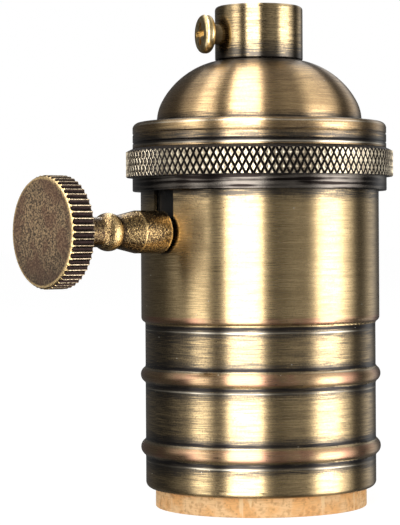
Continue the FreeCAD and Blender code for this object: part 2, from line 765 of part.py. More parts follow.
# --------------------------------------------------------------------------------------------
# the switch, drawn upright and laid along the shaft's axis


def lay_on_shaft(body, size):
    """Lay a body that was drawn about +Z along the shaft, +Z towards the knob."""
    body.Placement = FreeCAD.Placement(Vector(0, 0, 0), FreeCAD.Rotation(Vector(0, 1, 0), -90))
    bind(body, "Placement.Base.z", size.shaft_height)
    return body


def make_knob(doc, size, place):
    """The fluted knob with its thin neck, beaded stem and blind bore."""
    body = new_body(doc, "switch_knob")
    end, face = place.stem_end, place.knob_face
    back = face - size.knob_thickness
    bore = size.shaft_radius + size.slide_gap
    shoulder = face - size.knob_bevel_depth
    outline = Outline(sketch_on(body, "XZ_Plane"), bore, end)
    outline.line_to(size.stem_radius, end)
    outline.line_to(size.stem_radius, end + size.taper_start)
    outline.line_to(size.notch_radius, end + size.bead_start)
    outline.arc_to(size.neck_collar, end + size.bead_end, size.bead_bulge, True)
    outline.line_to(size.neck_collar, back)
    outline.line_to(size.knob_radius, back)
    outline.line_to(size.knob_radius, shoulder)
    outline.line_to(size.knob_radius - size.knob_bevel, face)
    outline.line_to(0, face)
    outline.line_to(0, place.shaft_end + size.seat_gap)
    outline.line_to(bore, place.shaft_end + size.seat_gap)
    turned(body, outline.close())

    cutter = size.flute_radius
    run = size.knob_radius + size.flute_offset
    sketch = sketch_on(body, "XZ_Plane")
    axis = upright_axis(sketch, run)
    flute = Outline(sketch, run, back - cutter)
    flute.line_to(run, shoulder).arc_to(run - cutter, shoulder - cutter, cutter, True)
    flute.line_to(run - cutter, back - cutter)
    groove = turned(body, flute.close(), axis, "PartDesign::Groove")
    repeated(body, [groove], "Z_Axis", FLUTES)
    return lay_on_shaft(body, size)


def make_shaft(doc, size, place):
    """The switch shaft: a groove for its retaining ring, and a flat that turns the rotor."""
    body = new_body(doc, "switch_shaft")
    radius, edge = size.shaft_radius, size.edge_break
    outline = Outline(sketch_on(body, "XZ_Plane"), 0, -size.shaft_tail)
    outline.line_to(radius - edge, -size.shaft_tail)
    outline.line_to(radius, edge - size.shaft_tail)
    outline.line_to(radius, place.clip_place - size.slide_gap)
    outline.line_to(size.ring_seat, place.clip_place - size.slide_gap)
    outline.line_to(size.ring_seat, place.clip_place + size.ring_thickness + size.slide_gap)
    outline.line_to(radius, place.clip_place + size.ring_thickness + size.slide_gap)
    outline.line_to(radius, place.shaft_end - edge)
    outline.line_to(radius - edge, place.shaft_end)
    outline.line_to(0, place.shaft_end)
    turned(body, outline.close())

    flat = sketch_on(body, "XZ_Plane")
    rectangle(flat, size.shaft_flat, 2 * radius, -2 * size.shaft_tail, place.rotor_front)
    pocketed(body, flat, 4 * radius, centred=True)
    return lay_on_shaft(body, size)


def make_retaining_ring(doc, size, place):
    """The open spring ring that keeps the shaft from being drawn out."""
    body = new_body(doc, "retaining_ring")
    sketch = sketch_on(body, "XY_Plane", lift=place.clip_place)
    circle(sketch, 0, 0, size.ring_radius)
    circle(sketch, 0, 0, size.ring_seat + size.slide_gap)
    padded(body, sketch, size.ring_thickness)

    mouth = sketch_on(body, "XY_Plane", lift=place.clip_place + size.ring_thickness)
    half = size.ring_mouth / 2
    rectangle(mouth, -2 * size.ring_radius, 0, -half, half)
    pocketed(body, mouth, size.ring_thickness)
    return lay_on_shaft(body, size)


def make_rotor(doc, size, place):
    """The moulded rotor: a hub, a drum for the contact band and a square cam with round corners."""
    body = new_body(doc, "switch_rotor")
    half = size.drum_length / 2
    sketch = sketch_on(body, "XZ_Plane")
    outline = Outline(sketch, 0, -place.rotor_back)
    outline.line_to(size.hub_radius, -place.rotor_back)
    outline.line_to(size.hub_radius, -half)
    outline.line_to(size.drum_radius, -half)
    outline.line_to(size.drum_radius, half)
    outline.line_to(size.hub_radius, half)
    outline.line_to(size.hub_radius, place.rotor_front)
    outline.line_to(0, place.rotor_front)
    turned(body, outline.close())

    flat, corner = size.cam_flat, size.cam_corner
    side = root(corner * corner - flat * flat)
    cam = Outline(sketch_on(body, "XY_Plane", lift=place.rotor_front - size.cam_length), flat, side)
    cam.arc_to(side, flat, corner, True).line_to(-side, flat)
    cam.arc_to(-flat, side, corner, True).line_to(-flat, -side)
    cam.arc_to(-side, -flat, corner, True).line_to(side, -flat)
    cam.arc_to(flat, -side, corner, True)
    padded(body, cam.close(), size.cam_length)

    bore = size.shaft_radius + size.slide_gap
    reach = size.shaft_flat + size.slide_gap
    wide = root(bore * bore - reach * reach)
    hole = Outline(sketch_on(body, "XY_Plane", lift=place.rotor_front), reach, wide)
    hole.arc_to(0, bore, bore, True).arc_to(-bore, 0, bore, True)
    hole.arc_to(0, -bore, bore, True).arc_to(reach, -wide, bore, True)
    pocketed(body, hole.close(), place.rotor_front + place.rotor_back)
    return lay_on_shaft(body, size)


def make_contact_band(doc, size, place):
    """The brass band round half the drum, which joins the two fixed contacts when it faces both."""
    body = new_body(doc, "contact_band")
    inside, outside = place.band_inside, place.band_outside
    along, across = cosine(size.band_overlap), sine(size.band_overlap)
    sketch = sketch_on(body, "XY_Plane", lift=-size.band_width / 2)
    band = Outline(sketch, outside * along, -outside * across)
    band.arc_to(0, outside, outside, True)
    band.arc_to(-outside * along, -outside * across, outside, True)
    band.line_to(-inside * along, -inside * across)
    band.arc_to(0, inside, inside, False)
    band.arc_to(inside * along, -inside * across, inside, False)
    padded(body, band.close(), size.band_width)
    return lay_on_shaft(body, size)


# --------------------------------------------------------------------------------------------
# the insulating core


def make_core_base(doc, size, place):
    """The moulded core: a spigot for the liner, the switch chamber and two terminal pockets."""
    body = new_body(doc, "core_base")
    radius, top = place.core_radius, place.core_top
    outline = Outline(sketch_on(body, "XZ_Plane"), 0, place.boss_foot)
    outline.line_to(size.boss_radius, place.boss_foot)
    outline.line_to(size.boss_radius, place.core_foot)
    outline.line_to(place.spigot_radius, place.core_foot)
    outline.line_to(place.spigot_radius, place.core_seat)
    outline.line_to(radius, place.core_seat)
    outline.line_to(radius, top)
    outline.line_to(0, top)
    turned(body, outline.close())

    chamber = sketch_on(body, "XY_Plane", lift=top)
    rectangle(chamber, -size.chamber_front, size.chamber_back, -place.chamber_side,
              place.chamber_side)
    pocketed(body, chamber, top - place.chamber_floor)

    half = size.shaft_radius + size.slide_gap
    tail = size.shaft_tail + size.tail_room
    bearing = Outline(sketch_on(body, "YZ_Plane", lift=tail), -half, top + half)
    bearing.line_to(-half, size.shaft_height)
    bearing.arc_to(0, size.shaft_height - half, half, True)
    bearing.arc_to(half, size.shaft_height, half, True)
    bearing.line_to(half, top + half)
    pocketed(body, bearing.close(), tail + radius + half)

    pockets = sketch_on(body, "XY_Plane", lift=top)
    wide = size.pocket_width / 2
    rectangle(pockets, -wide, wide, place.pocket_side, radius + half)
    rectangle(pockets, -wide, wide, -radius - half, -place.pocket_side)
    pocketed(body, pockets, top - place.pocket_floor)

    # the wall tops: a notch for the line terminal's bridge, and shelves for the detent spring
    strap = size.band_width / 2 + size.loose_gap
    notch = sketch_on(body, "XY_Plane", lift=top)
    rectangle(notch, -strap, strap, -place.pocket_side - half, -place.chamber_side + half)
    pocketed(body, notch, size.strip + size.seat_gap)
    shelf = place.chamber_side + size.spring_shelf
    ledge = sketch_on(body, "XY_Plane", lift=top)
    rectangle(ledge, -place.rotor_front, size.cam_length - place.rotor_front, -shelf, shelf)
    pocketed(body, ledge, size.spring_leaf + size.seat_gap)

    # the neutral terminal's way down to the screw shell
    way = sketch_on(body, "XY_Plane", lift=place.pocket_floor)
    rectangle(way, -strap, strap, place.pocket_side, place.plate_face + size.strip + size.loose_gap)
    pocketed(body, way, place.pocket_floor - place.core_foot)

    # holes for the binding screws, the contact rivet, and the cover's and the shell's screws
    binders = sketch_on(body, "XZ_Plane")
    circle(binders, 0, size.shaft_height, size.binder_shank + size.slide_gap)
    pocketed(body, binders, 2 * place.pocket_side, centred=True)
    rivet = sketch_on(body, "XY_Plane", lift=place.chamber_floor)
    circle(rivet, 0, size.rivet_aside, size.rivet_radius + size.slide_gap)
    pocketed(body, rivet, place.chamber_floor - place.boss_foot)
    covers = sketch_on(body, "XY_Plane", lift=top)
    across, aside = size.cover_screw_across, size.cover_screw_aside
    circle(covers, across, aside, size.cover_screw_shank + size.slide_gap)
    circle(covers, -across, -aside, size.cover_screw_shank + size.slide_gap)
    pocketed(body, covers, size.cover_screw_length)
    deep = place.core_foot + size.shell_screw_length + size.loose_gap
    holders = sketch_on(body, "XY_Plane", lift=deep)
    circle(holders, size.shell_screw_across, 0, size.shell_screw_shank + size.slide_gap)
    circle(holders, -size.shell_screw_across, 0, size.shell_screw_shank + size.slide_gap)
    pocketed(body, holders, deep - place.core_foot)
    return body


def make_core_cover(doc, size, place):
    """The cover that is clamped by its rim, with tongues that close the shaft's bearings."""
    body = new_body(doc, "core_cover")
    outline = Outline(sketch_on(body, "XZ_Plane"), 0, place.core_top)
    outline.line_to(place.core_radius, place.core_top)
    outline.line_to(place.core_radius, place.shell_top)
    outline.line_to(place.flange_radius, place.shell_top)
    outline.line_to(place.flange_radius, place.cover_top)
    outline.line_to(0, place.cover_top)
    turned(body, outline.close())

    shaft_top = size.shaft_height + size.shaft_radius + size.slide_gap
    tail = size.shaft_tail + size.tail_room - size.seat_gap
    tongues = sketch_on(body, "XY_Plane", lift=shaft_top)
    half = size.shaft_radius
    rectangle(tongues, size.core_gap - place.core_radius, -size.chamber_front, -half, half)
    rectangle(tongues, size.chamber_back, tail, -half, half)
    padded(body, tongues, place.core_top - shaft_top)

    windows = sketch_on(body, "XY_Plane", lift=place.cover_top)
    wide, near = size.window_width / 2, place.pocket_side + size.core_gap
    rectangle(windows, -wide, wide, near, near + size.window_depth)
    rectangle(windows, -wide, wide, -near - size.window_depth, -near)
    pocketed(body, windows, place.cover_top - place.core_top)

    across, aside = size.cover_screw_across, size.cover_screw_aside
    for radius, depth in ((size.cover_screw_head + size.loose_gap, size.cover_head_depth),
                          (size.cover_screw_shank + size.slide_gap, place.cover_top)):
        holes = sketch_on(body, "XY_Plane", lift=place.cover_top)
        circle(holes, across, aside, radius)
        circle(holes, -across, -aside, radius)
        pocketed(body, holes, depth)
    return body


def make_cover_screws(doc, size, place):
    """The two screws that hold the cover to the core."""
    body = new_body(doc, "core_screws")
    body.AllowCompound = True
    across, aside = size.cover_screw_across, size.cover_screw_aside
    seat = place.cover_top - size.cover_head_depth
    sketch = sketch_on(body, "XZ_Plane", lift=-aside)
    axis = upright_axis(sketch, across)
    screw_profile(sketch, across, seat - size.cover_screw_length, seat, size.cover_screw_shank,
                  size.cover_screw_head, size.cover_head_depth, 1)
    repeated(body, [turned(body, sketch, axis)], "Z_Axis", 2)

    slots = sketch_on(body, "XY_Plane", lift=place.cover_top)
    half, reach = size.slot_cut / 2, size.cover_screw_head * 2
    for way in (1, -1):
        rectangle(slots, way * across - reach, way * across + reach, way * aside - half,
                  way * aside + half)
    pocketed(body, slots, size.cover_head_depth / 2)
    return body


def make_detent_spring(doc, size, place):
    """The flat spring over the rotor's cam, clamped at both ends under the cover."""
    body = new_body(doc, "detent_spring")
    sketch = sketch_on(body, "XY_Plane", lift=place.core_top - size.spring_leaf - size.seat_gap)
    reach = place.chamber_side + size.spring_shelf - size.seat_gap
    side = size.seat_gap
    rectangle(sketch, side - place.rotor_front, size.cam_length - place.rotor_front - side, -reach,
              reach)
    padded(body, sketch, size.spring_leaf)
    return body


# --------------------------------------------------------------------------------------------
# terminals and contacts


def make_line_terminal(doc, size, place):
    """The stamped terminal whose bridge crosses the chamber's wall and ends as a contact leaf."""
    body = new_body(doc, "line_terminal")
    strip, ceiling = size.strip, place.core_top - size.strip
    face, plate = -place.contact_face - strip, -place.plate_face
    foot = size.shaft_height - size.plate_foot
    sketch = sketch_on(body, "YZ_Plane")
    corners = [(face, size.shaft_height - size.leaf_drop), (face, ceiling), (plate, ceiling),
               (plate, foot)]
    padded(body, bent_strip(sketch, corners, strip, size.strip_bend), size.band_width, centred=True)

    wide = sketch_on(body, "YZ_Plane")
    rectangle(wide, plate - strip, plate, foot, ceiling - size.strip_bend)
    padded(body, wide, size.plate_width, centred=True)

    tapping = sketch_on(body, "XZ_Plane", lift=place.chamber_side)
    circle(tapping, 0, size.shaft_height, size.binder_shank + size.slide_gap)
    pocketed(body, tapping, place.pocket_side, forward=True)
    return body


def make_neutral_terminal(doc, size, place):
    """The stamped terminal whose tail passes the core and the screw shell's end plate."""
    body = new_body(doc, "neutral_terminal")
    ceiling = place.core_top - size.strip
    foot = size.shaft_height - size.plate_foot
    tail = place.core_foot - 2 * size.shell_sheet
    wide, narrow = size.plate_width / 2, size.band_width / 2
    sketch = sketch_on(body, "XZ_Plane", lift=-place.plate_face - size.strip)
    outline = Outline(sketch, -narrow, tail)
    outline.line_to(narrow, tail).line_to(narrow, foot).line_to(wide, foot)
    outline.line_to(wide, ceiling).line_to(-wide, ceiling)
    outline.line_to(-wide, foot).line_to(-narrow, foot)
    circle(outline.close(), 0, size.shaft_height, size.binder_shank + size.slide_gap)
    padded(body, sketch, size.strip)
    return body


def make_terminal_screws(doc, size, place):
    """The two binding screws for the wires."""
    body = new_body(doc, "terminal_screws")
    body.AllowCompound = True
    seat = place.plate_face + size.strip
    sketch = sketch_on(body, "XY_Plane", lift=size.shaft_height)
    screw_profile(sketch, Size.of(0), seat - size.binder_length, seat, size.binder_shank,
                  size.binder_head, size.binder_depth, 1)
    screw = turned(body, sketch)
    crown = seat + size.binder_depth
    slot = sketch_on(body, "XZ_Plane", lift=size.binder_depth / 3 - crown)
    half, reach = size.slot_cut / 2, size.binder_head * 2
    rectangle(slot, -reach, reach, size.shaft_height - half, size.shaft_height + half)
    cut = pocketed(body, slot, size.binder_depth)
    repeated(body, [screw, cut], "Z_Axis", 2)
    return body


def make_load_contact(doc, size, place):
    """The switched contact: a leaf beside the drum, and a foot that the rivet holds."""
    body = new_body(doc, "load_contact")
    sole = place.chamber_floor + size.strip
    sketch = sketch_on(body, "YZ_Plane")
    corners = [(size.rivet_aside - size.rivet_head, sole), (place.contact_face, sole),
               (place.contact_face, size.shaft_height + size.leaf_drop)]
    padded(body, bent_strip(sketch, corners, size.strip, size.strip_bend), size.band_width,
           centred=True)
    hole = sketch_on(body, "XY_Plane", lift=sole)
    circle(hole, 0, size.rivet_aside, size.rivet_radius + size.slide_gap)
    pocketed(body, hole, size.strip)
    return body


def make_contact_rivet(doc, size, place):
    """The rivet that joins the switched contact to the centre contact through the core."""
    body = new_body(doc, "contact_rivet")
    high, low = place.chamber_floor + size.strip, place.boss_foot - size.shell_sheet
    shank, head, depth = size.rivet_radius, size.rivet_head, size.rivet_head_depth
    dome = (head * head + depth * depth) / (2 * depth)
    outline = Outline(sketch_on(body, "XZ_Plane"), 0, low - depth)
    outline.arc_to(head, low, dome, True)
    outline.line_to(shank, low).line_to(shank, high).line_to(head, high)
    outline.arc_to(0, high + depth, dome, True)
    turned(body, outline.close())
    bind(body, "Placement.Base.y", size.rivet_aside)
    return body


def make_centre_contact(doc, size, place):
    """The sprung leaf that the lamp's centre presses on."""
    body = new_body(doc, "centre_contact")
    top, leaf, drop = place.boss_foot, size.shell_sheet, size.leaf_drop_centre
    head = size.rivet_head
    heel, knee = size.rivet_aside + head, size.rivet_aside - head
    toe, curl, rise = -size.leaf_toe, size.leaf_curl, size.leaf_curl_rise
    outline = Outline(sketch_on(body, "YZ_Plane"), heel, top - leaf)
    outline.line_to(heel, top).line_to(knee, top).line_to(toe, top - drop)
    outline.arc_to(toe - curl, top - drop + rise, curl, False)
    outline.line_to(toe - curl - leaf / 2, top - drop + rise - leaf)
    outline.arc_to(toe, top - drop - leaf, curl + leaf, True)
    outline.line_to(knee, top - leaf)
    padded(body, outline.close(), size.band_width, centred=True)
    hole = sketch_on(body, "XY_Plane", lift=top)
    circle(hole, 0, size.rivet_aside, size.rivet_radius + size.slide_gap)
    pocketed(body, hole, leaf)
    return body


def make_screw_shell(doc, size, place):
    """The cup that takes the lamp's screw cap."""
    body = new_body(doc, "screw_shell")
    sheet, crest, mouth = size.shell_sheet, size.crest_radius, size.crest_radius + size.mouth_flare
    low, high = size.mouth_height, place.core_foot
    bend = low + size.mouth_length
    slope = size.mouth_flare
    outline = Outline(sketch_on(body, "XZ_Plane"), mouth, low)
    outline.line_to(mouth + sheet, low).line_to(mouth + sheet, bend)
    outline.line_to(crest + sheet, bend + slope).line_to(crest + sheet, high)
    outline.line_to(size.eye_radius, high).line_to(size.eye_radius, high - sheet)
    outline.line_to(crest, high - sheet).line_to(crest, bend + slope).line_to(mouth, bend)
    turned(body, outline.close())

    holes = sketch_on(body, "XY_Plane", lift=high)
    for way in (1, -1):
        circle(holes, way * size.shell_screw_across, 0, size.shell_screw_shank + size.slide_gap)
    half, near = size.band_width / 2 + size.loose_gap, place.plate_face
    rectangle(holes, -half, half, near - size.loose_gap, near + size.strip + size.loose_gap)
    pocketed(body, holes, sheet)
    return body


def make_shell_screws(doc, size, place):
    """The two screws that hold the screw shell to the core."""
    body = new_body(doc, "shell_screws")
    body.AllowCompound = True
    seat, across = place.core_foot - size.shell_sheet, size.shell_screw_across
    sketch = sketch_on(body, "XZ_Plane")
    axis = upright_axis(sketch, across)
    screw_profile(sketch, across, seat + size.shell_screw_length, seat, size.shell_screw_shank,
                  size.shell_screw_head, size.shell_head_depth, -1)
    repeated(body, [turned(body, sketch, axis)], "Z_Axis", 2)

    slots = sketch_on(body, "XY_Plane", lift=seat - size.shell_head_depth / 2)
    half, reach = size.slot_cut / 2, size.shell_screw_head * 2
    for way in (1, -1):
        rectangle(slots, way * across - half, way * across + half, -reach, reach)
    pocketed(body, slots, size.shell_head_depth)
    return body


# --------------------------------------------------------------------------------------------
# the whole holder

MAKERS = (
    make_neck_bush, make_neck_screw, make_dome_cap, make_lock_ring, make_outer_shell, make_liner,
    make_core_base, make_core_cover, make_cover_screws, make_detent_spring, make_line_terminal,
    make_neutral_terminal, make_terminal_screws, make_load_contact, make_contact_rivet,
    make_centre_contact, make_screw_shell, make_shell_screws, make_shaft, make_retaining_ring,
    make_rotor, make_contact_band, make_knob,
)


def check(doc, bodies):
    """Stop if an object has failed or a sub-part has no sound shape."""
    failed = [item.Name for item in doc.Objects if {"Invalid", "Error"} & set(item.State)]
    if failed:
        raise RuntimeError(f"failed objects: {failed}")
    unsound = [body.Label for body in bodies if body.Shape.isNull() or not body.Shape.isValid()]
    if unsound:
        raise RuntimeError(f"unsound shapes: {unsound}")


def main():
    doc = FreeCAD.newDocument("lamp_holder")
    size = Sizes(doc)
    place = Places(size)
    bodies = [make(doc, size, place) for make in MAKERS]
    doc.recompute()
    check(doc, bodies)
    os.makedirs("parts", exist_ok=True)
    for body in bodies:
        body.Shape.exportStep(os.path.join("parts", body.Label + ".step"))
        print(f"{body.Label}: {len(body.Shape.Solids)} solid, {body.Shape.Volume:.2f} mm3")


main()
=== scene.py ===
"""The looks of a brass lamp holder with a knob switch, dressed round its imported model.

Lengths are millimetres.  The mesh builder turns them into metres as it makes a mesh, and the
shaders work on a surface point's place in millimetres.
"""

import logging
import math
from abc import ABC, abstractmethod
from collections.abc import Callable, Iterable, Mapping, Sequence
from dataclasses import dataclass
from enum import Enum
from functools import reduce

import bmesh
import bpy
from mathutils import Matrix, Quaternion, Vector


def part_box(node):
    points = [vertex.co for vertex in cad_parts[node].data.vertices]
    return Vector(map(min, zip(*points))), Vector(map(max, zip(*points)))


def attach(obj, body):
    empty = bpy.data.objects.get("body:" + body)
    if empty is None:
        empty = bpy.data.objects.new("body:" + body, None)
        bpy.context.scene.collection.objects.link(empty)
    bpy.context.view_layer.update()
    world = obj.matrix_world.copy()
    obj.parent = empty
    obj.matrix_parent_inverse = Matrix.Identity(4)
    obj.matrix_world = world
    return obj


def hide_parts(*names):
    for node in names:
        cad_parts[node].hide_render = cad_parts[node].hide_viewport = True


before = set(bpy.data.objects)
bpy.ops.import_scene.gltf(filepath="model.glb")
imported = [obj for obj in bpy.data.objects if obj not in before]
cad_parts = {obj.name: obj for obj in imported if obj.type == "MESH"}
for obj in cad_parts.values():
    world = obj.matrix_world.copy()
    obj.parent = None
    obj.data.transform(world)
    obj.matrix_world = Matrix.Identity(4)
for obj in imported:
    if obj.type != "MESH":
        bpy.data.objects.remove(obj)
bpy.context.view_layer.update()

MM = 0.001
FULL_TURN = 2 * math.pi

Point = tuple[float, float]
Span = tuple[float, float]
Colour = tuple[float, float, float]
Socket = bpy.types.NodeSocket
Tint = Colour | Socket
Piece = bpy.types.Object
Mesh = bmesh.types.BMesh
Vertex = bmesh.types.BMVert
Edge = bmesh.types.BMEdge

# vertices closer than WELD are made one; what lies within NEAR of a place counts as there
WELD = 1e-4
NEAR = 1e-3

log = logging.getLogger("lamp_holder")


class Slot(Enum):
    """Names of material slots in the record; the pieces built here are not given them."""

    ANTIQUE = "antique_brass"
    AGED = "aged_brass"
    STRIP = "strip_brass"
    BOARD = "liner_board"


# --------------------------------------------------------------------------------------------
# shader maths


@dataclass(frozen=True)
class Field:
    """A number that varies over a surface; arithmetic on it adds Math nodes."""

    graph: "Graph"
    socket: Socket

    def __add__(self, other: "float | Field") -> "Field":
        """Add."""
        return self.graph.math("ADD", self, other)

    def __radd__(self, other: float) -> "Field":
        """Add to a plain number."""
        return self.graph.math("ADD", other, self)

    def __sub__(self, other: "float | Field") -> "Field":
        """Subtract."""
        return self.graph.math("SUBTRACT", self, other)

    def __rsub__(self, other: float) -> "Field":
        """Subtract from a plain number."""
        return self.graph.math("SUBTRACT", other, self)

    def __mul__(self, other: "float | Field") -> "Field":
        """Multiply."""
        return self.graph.math("MULTIPLY", self, other)

    def __rmul__(self, other: float) -> "Field":
        """Multiply a plain number."""
        return self.graph.math("MULTIPLY", other, self)

    def __truediv__(self, other: "float | Field") -> "Field":
        """Divide."""
        return self.graph.math("DIVIDE", self, other)

    def __pow__(self, other: float) -> "Field":
        """Raise to a power."""
        return self.graph.math("POWER", self, other)

    def __abs__(self) -> "Field":
        """Take the size without the sign."""
        return self.graph.math("ABSOLUTE", self)

    def ramp(self, low: float, high: float) -> "Field":
        """Give a smooth step.

        Args:
            low: Where the step is 0.
            high: Where the step is 1; it may be below low.

        Returns:
            The step, between 0 and 1.
        """
        settings = {"interpolation_type": "SMOOTHSTEP"}
        inputs = {"Value": self, "From Min": low, "From Max": high}
        if low > high:
            inputs = {"Value": self, "From Min": high, "From Max": low}
        step = Field(self.graph, self.graph.node("ShaderNodeMapRange", settings, inputs).outputs[0])
        return 1.0 - step if low > high else step


class Graph:
    """The node tree of one material or of the world."""

    def __init__(self, tree: bpy.types.NodeTree) -> None:
        """Start with an empty tree."""
        self.tree = tree
        tree.nodes.clear()

    def node(self, kind: str, settings: Mapping[str, object] | None = None,
             inputs: Mapping[str | int, object] | None = None) -> bpy.types.Node:
        """Add a node.

        Args:
            kind: The node's type.
            settings: Its own settings, which are set first.
            inputs: Values, fields or sockets for its inputs.

        Returns:
            The node.
        """
        node = self.tree.nodes.new(kind)
        for name, value in (settings or {}).items():
            setattr(node, name, value)
        for name, value in (inputs or {}).items():
            if isinstance(value, Field):
                value = value.socket
            if isinstance(value, Socket):
                self.tree.links.new(value, node.inputs[name])
            else:
                node.inputs[name].default_value = value
        return node

    def math(self, operation: str, *values: float | Field, clamp: bool = False) -> Field:
        """Add a Math node.

        Args:
            operation: What it works out.
            values: Fields or numbers for its inputs.
            clamp: Whether the result is kept between 0 and 1.

        Returns:
            The result.
        """
        settings = {"operation": operation, "use_clamp": clamp}
        made = self.node("ShaderNodeMath", settings, dict(enumerate(values)))
        return Field(self, made.outputs[0])

    def most(self, values: Sequence[Field]) -> Field:
        """Give the greatest of several fields."""
        return reduce(lambda first, second: self.math("MAXIMUM", first, second), values)

    def vector(self, x: Field, y: Field, z: Field) -> Socket:
        """Join three numbers into a vector."""
        return self.node("ShaderNodeCombineXYZ", None, {"X": x, "Y": y, "Z": z}).outputs[0]

    def mix(self, factor: Field, first: Tint, second: Tint) -> Socket:
        """Mix two colours.

        Args:
            factor: How much of the second colour there is.
            first: A colour, or the socket of one.
            second: A colour, or the socket of one.

        Returns:
            The mixed colour's socket.
        """
        tints = [(*tint, 1.0) if isinstance(tint, tuple) else tint for tint in (first, second)]
        inputs = {0: factor, 6: tints[0], 7: tints[1]}
        return self.node("ShaderNodeMix", {"data_type": "RGBA"}, inputs).outputs[2]

    def noise(self, place: Socket, detail: float, scale: float = 1.0) -> Field:
        """Give smooth noise about one half.

        Args:
            place: The vector that the noise is read at.
            detail: How many finer layers are added.
            scale: How fine the noise is.

        Returns:
            The noise.
        """
        inputs = {"Vector": place, "Detail": detail, "Scale": scale}
        return Field(self, self.node("ShaderNodeTexNoise", None, inputs).outputs[0])

    def cells(self, place: Socket, scale: float) -> Field:
        """Give the distance to the nearest of many scattered points."""
        inputs = {"Vector": place, "Scale": scale}
        return Field(self, self.node("ShaderNodeTexVoronoi", None, inputs).outputs[0])

    def bump(self, height: Field) -> Socket:
        """Raise the surface by a height in millimetres."""
        return self.node("ShaderNodeBump", None, {"Distance": MM, "Height": height}).outputs[0]

    def principled(self, constants: Mapping[str, object], varying: Mapping[str, object],
                   height: Field) -> Socket:
        """Add the surface shader.

        Args:
            constants: Plain values for its own sockets.
            varying: What changes over the surface.
            height: The surface's fine relief in millimetres.

        Returns:
            The shader's socket.
        """
        inputs = {**constants, **varying, "Normal": self.bump(height)}
        return self.node("ShaderNodeBsdfPrincipled", None, inputs).outputs[0]


class Spot:
    """Where a shaded point lies on its piece, in millimetres."""

    def __init__(self, graph: Graph) -> None:
        """Read the point's place in the piece's own frame.

        Args:
            graph: The material's nodes.
        """
        self.graph = graph
        place = graph.node("ShaderNodeTexCoord").outputs["Object"]
        scaled = {0: place, "Scale": 1 / MM}
        self.place = graph.node("ShaderNodeVectorMath", {"operation": "SCALE"}, scaled).outputs[0]
        split = graph.node("ShaderNodeSeparateXYZ", None, {"Vector": self.place})
        self.x, self.y, self.z = (Field(graph, socket) for socket in split.outputs)

    def radius(self) -> Field:
        """Give the distance from the holder's axis."""
        return (self.x * self.x + self.y * self.y) ** 0.5

    def shaft_radius(self, height: float) -> Field:
        """Give the distance from the switch shaft's axis, which runs along X at a height."""
        rise = self.z - height
        return (self.y * self.y + rise * rise) ** 0.5

    def lathe_marks(self, length: float, width: float, seed: float, detail: float) -> Field:
        """Give fine marks that run round the holder.

        Args:
            length: How long a mark is.
            width: How wide a mark is.
            seed: A shift that makes one set of marks unlike another.
            detail: How many finer layers are added.

        Returns:
            Noise about one half, drawn out round the axis.
        """
        along = (self.z - self.radius()) / width
        place = self.graph.vector(self.x / length + seed, self.y / length, along)
        return self.graph.noise(place, detail)


# --------------------------------------------------------------------------------------------
# finishes


@dataclass(frozen=True)
class Finish(ABC):
    """The material of one kind of surface."""

    name: str

    @abstractmethod
    def shade(self, graph: Graph) -> Socket:
        """Draw the surface in a graph and give the shader's socket."""

    def material(self) -> bpy.types.Material:
        """Give the finish's material, made the first time it is asked for.

        Returns:
            The material.
        """
        found = bpy.data.materials.get("finish_" + self.name)
        if found:
            return found
        made = bpy.data.materials.new("finish_" + self.name)
        made.use_nodes = True
        graph = Graph(made.node_tree)
        graph.node("ShaderNodeOutputMaterial", None, {"Surface": self.shade(graph)})
        return made


@dataclass(frozen=True)
class Seam:
    """A line round a piece where the dark patina has stayed, and how far it fades away.

    Under the line there may be a painted glint: a bright line that stands in for the reflection of
    a thin edge.
    """

    height: float
    below: float
    above: float
    strength: float = 1.0
    line: float = 1.0
    glint: float = 0.0
    glint_drop: float = 0.5
    line_edge: Span = (0.34, 0.12)
    glint_edge: Span = (0.17, 0.04)

    def near(self, spot: Spot) -> Field:
        """Give how thick the smoke of the patina lies beside the line.

        Args:
            spot: The shaded point.

        Returns:
            The thickness, from 0 to 1.
        """
        under = (spot.z - (self.height - self.below)) / self.below
        over = ((self.height + self.above) - spot.z) / self.above
        return spot.graph.math("MINIMUM", under, over, clamp=True) * self.strength

    def core(self, spot: Spot) -> Field:
        """Give the black line itself."""
        return abs(spot.z - self.height).ramp(*self.line_edge) * self.line

    def edge(self, spot: Spot) -> Field:
        """Give the painted glint under the line."""
        off = abs(spot.z - (self.height - self.glint_drop))
        return off.ramp(*self.glint_edge) * self.glint


@dataclass(frozen=True)
class StemShade:
    """Painted shade round the slot that the switch's stem comes out of, where the stem's shadow and
    reflection fall on the shell.
    """

    height: float
    reach: float = 3.8
    soft: float = 0.7
    side: Span = (-8.0, -10.0)
    strength: float = 0.75

    def near(self, spot: Spot) -> Field:
        """Give how deep the painted shade lies."""
        round_stem = spot.shaft_radius(self.height).ramp(self.reach, self.reach - self.soft)
        return round_stem * spot.x.ramp(*self.side) * self.strength


@dataclass(frozen=True)
class SideShade:
    """Painted shade on the shell's flank beside the knob, up to a height."""

    top: float
    soft: float = 0.4
    side: Span = (-15.6, -18.1)
    strength: float = 0.27

    def near(self, spot: Spot) -> Field:
        """Give how deep the painted shade lies."""
        under = spot.z.ramp(self.top, self.top - self.soft)
        return under * spot.x.ramp(*self.side) * self.strength


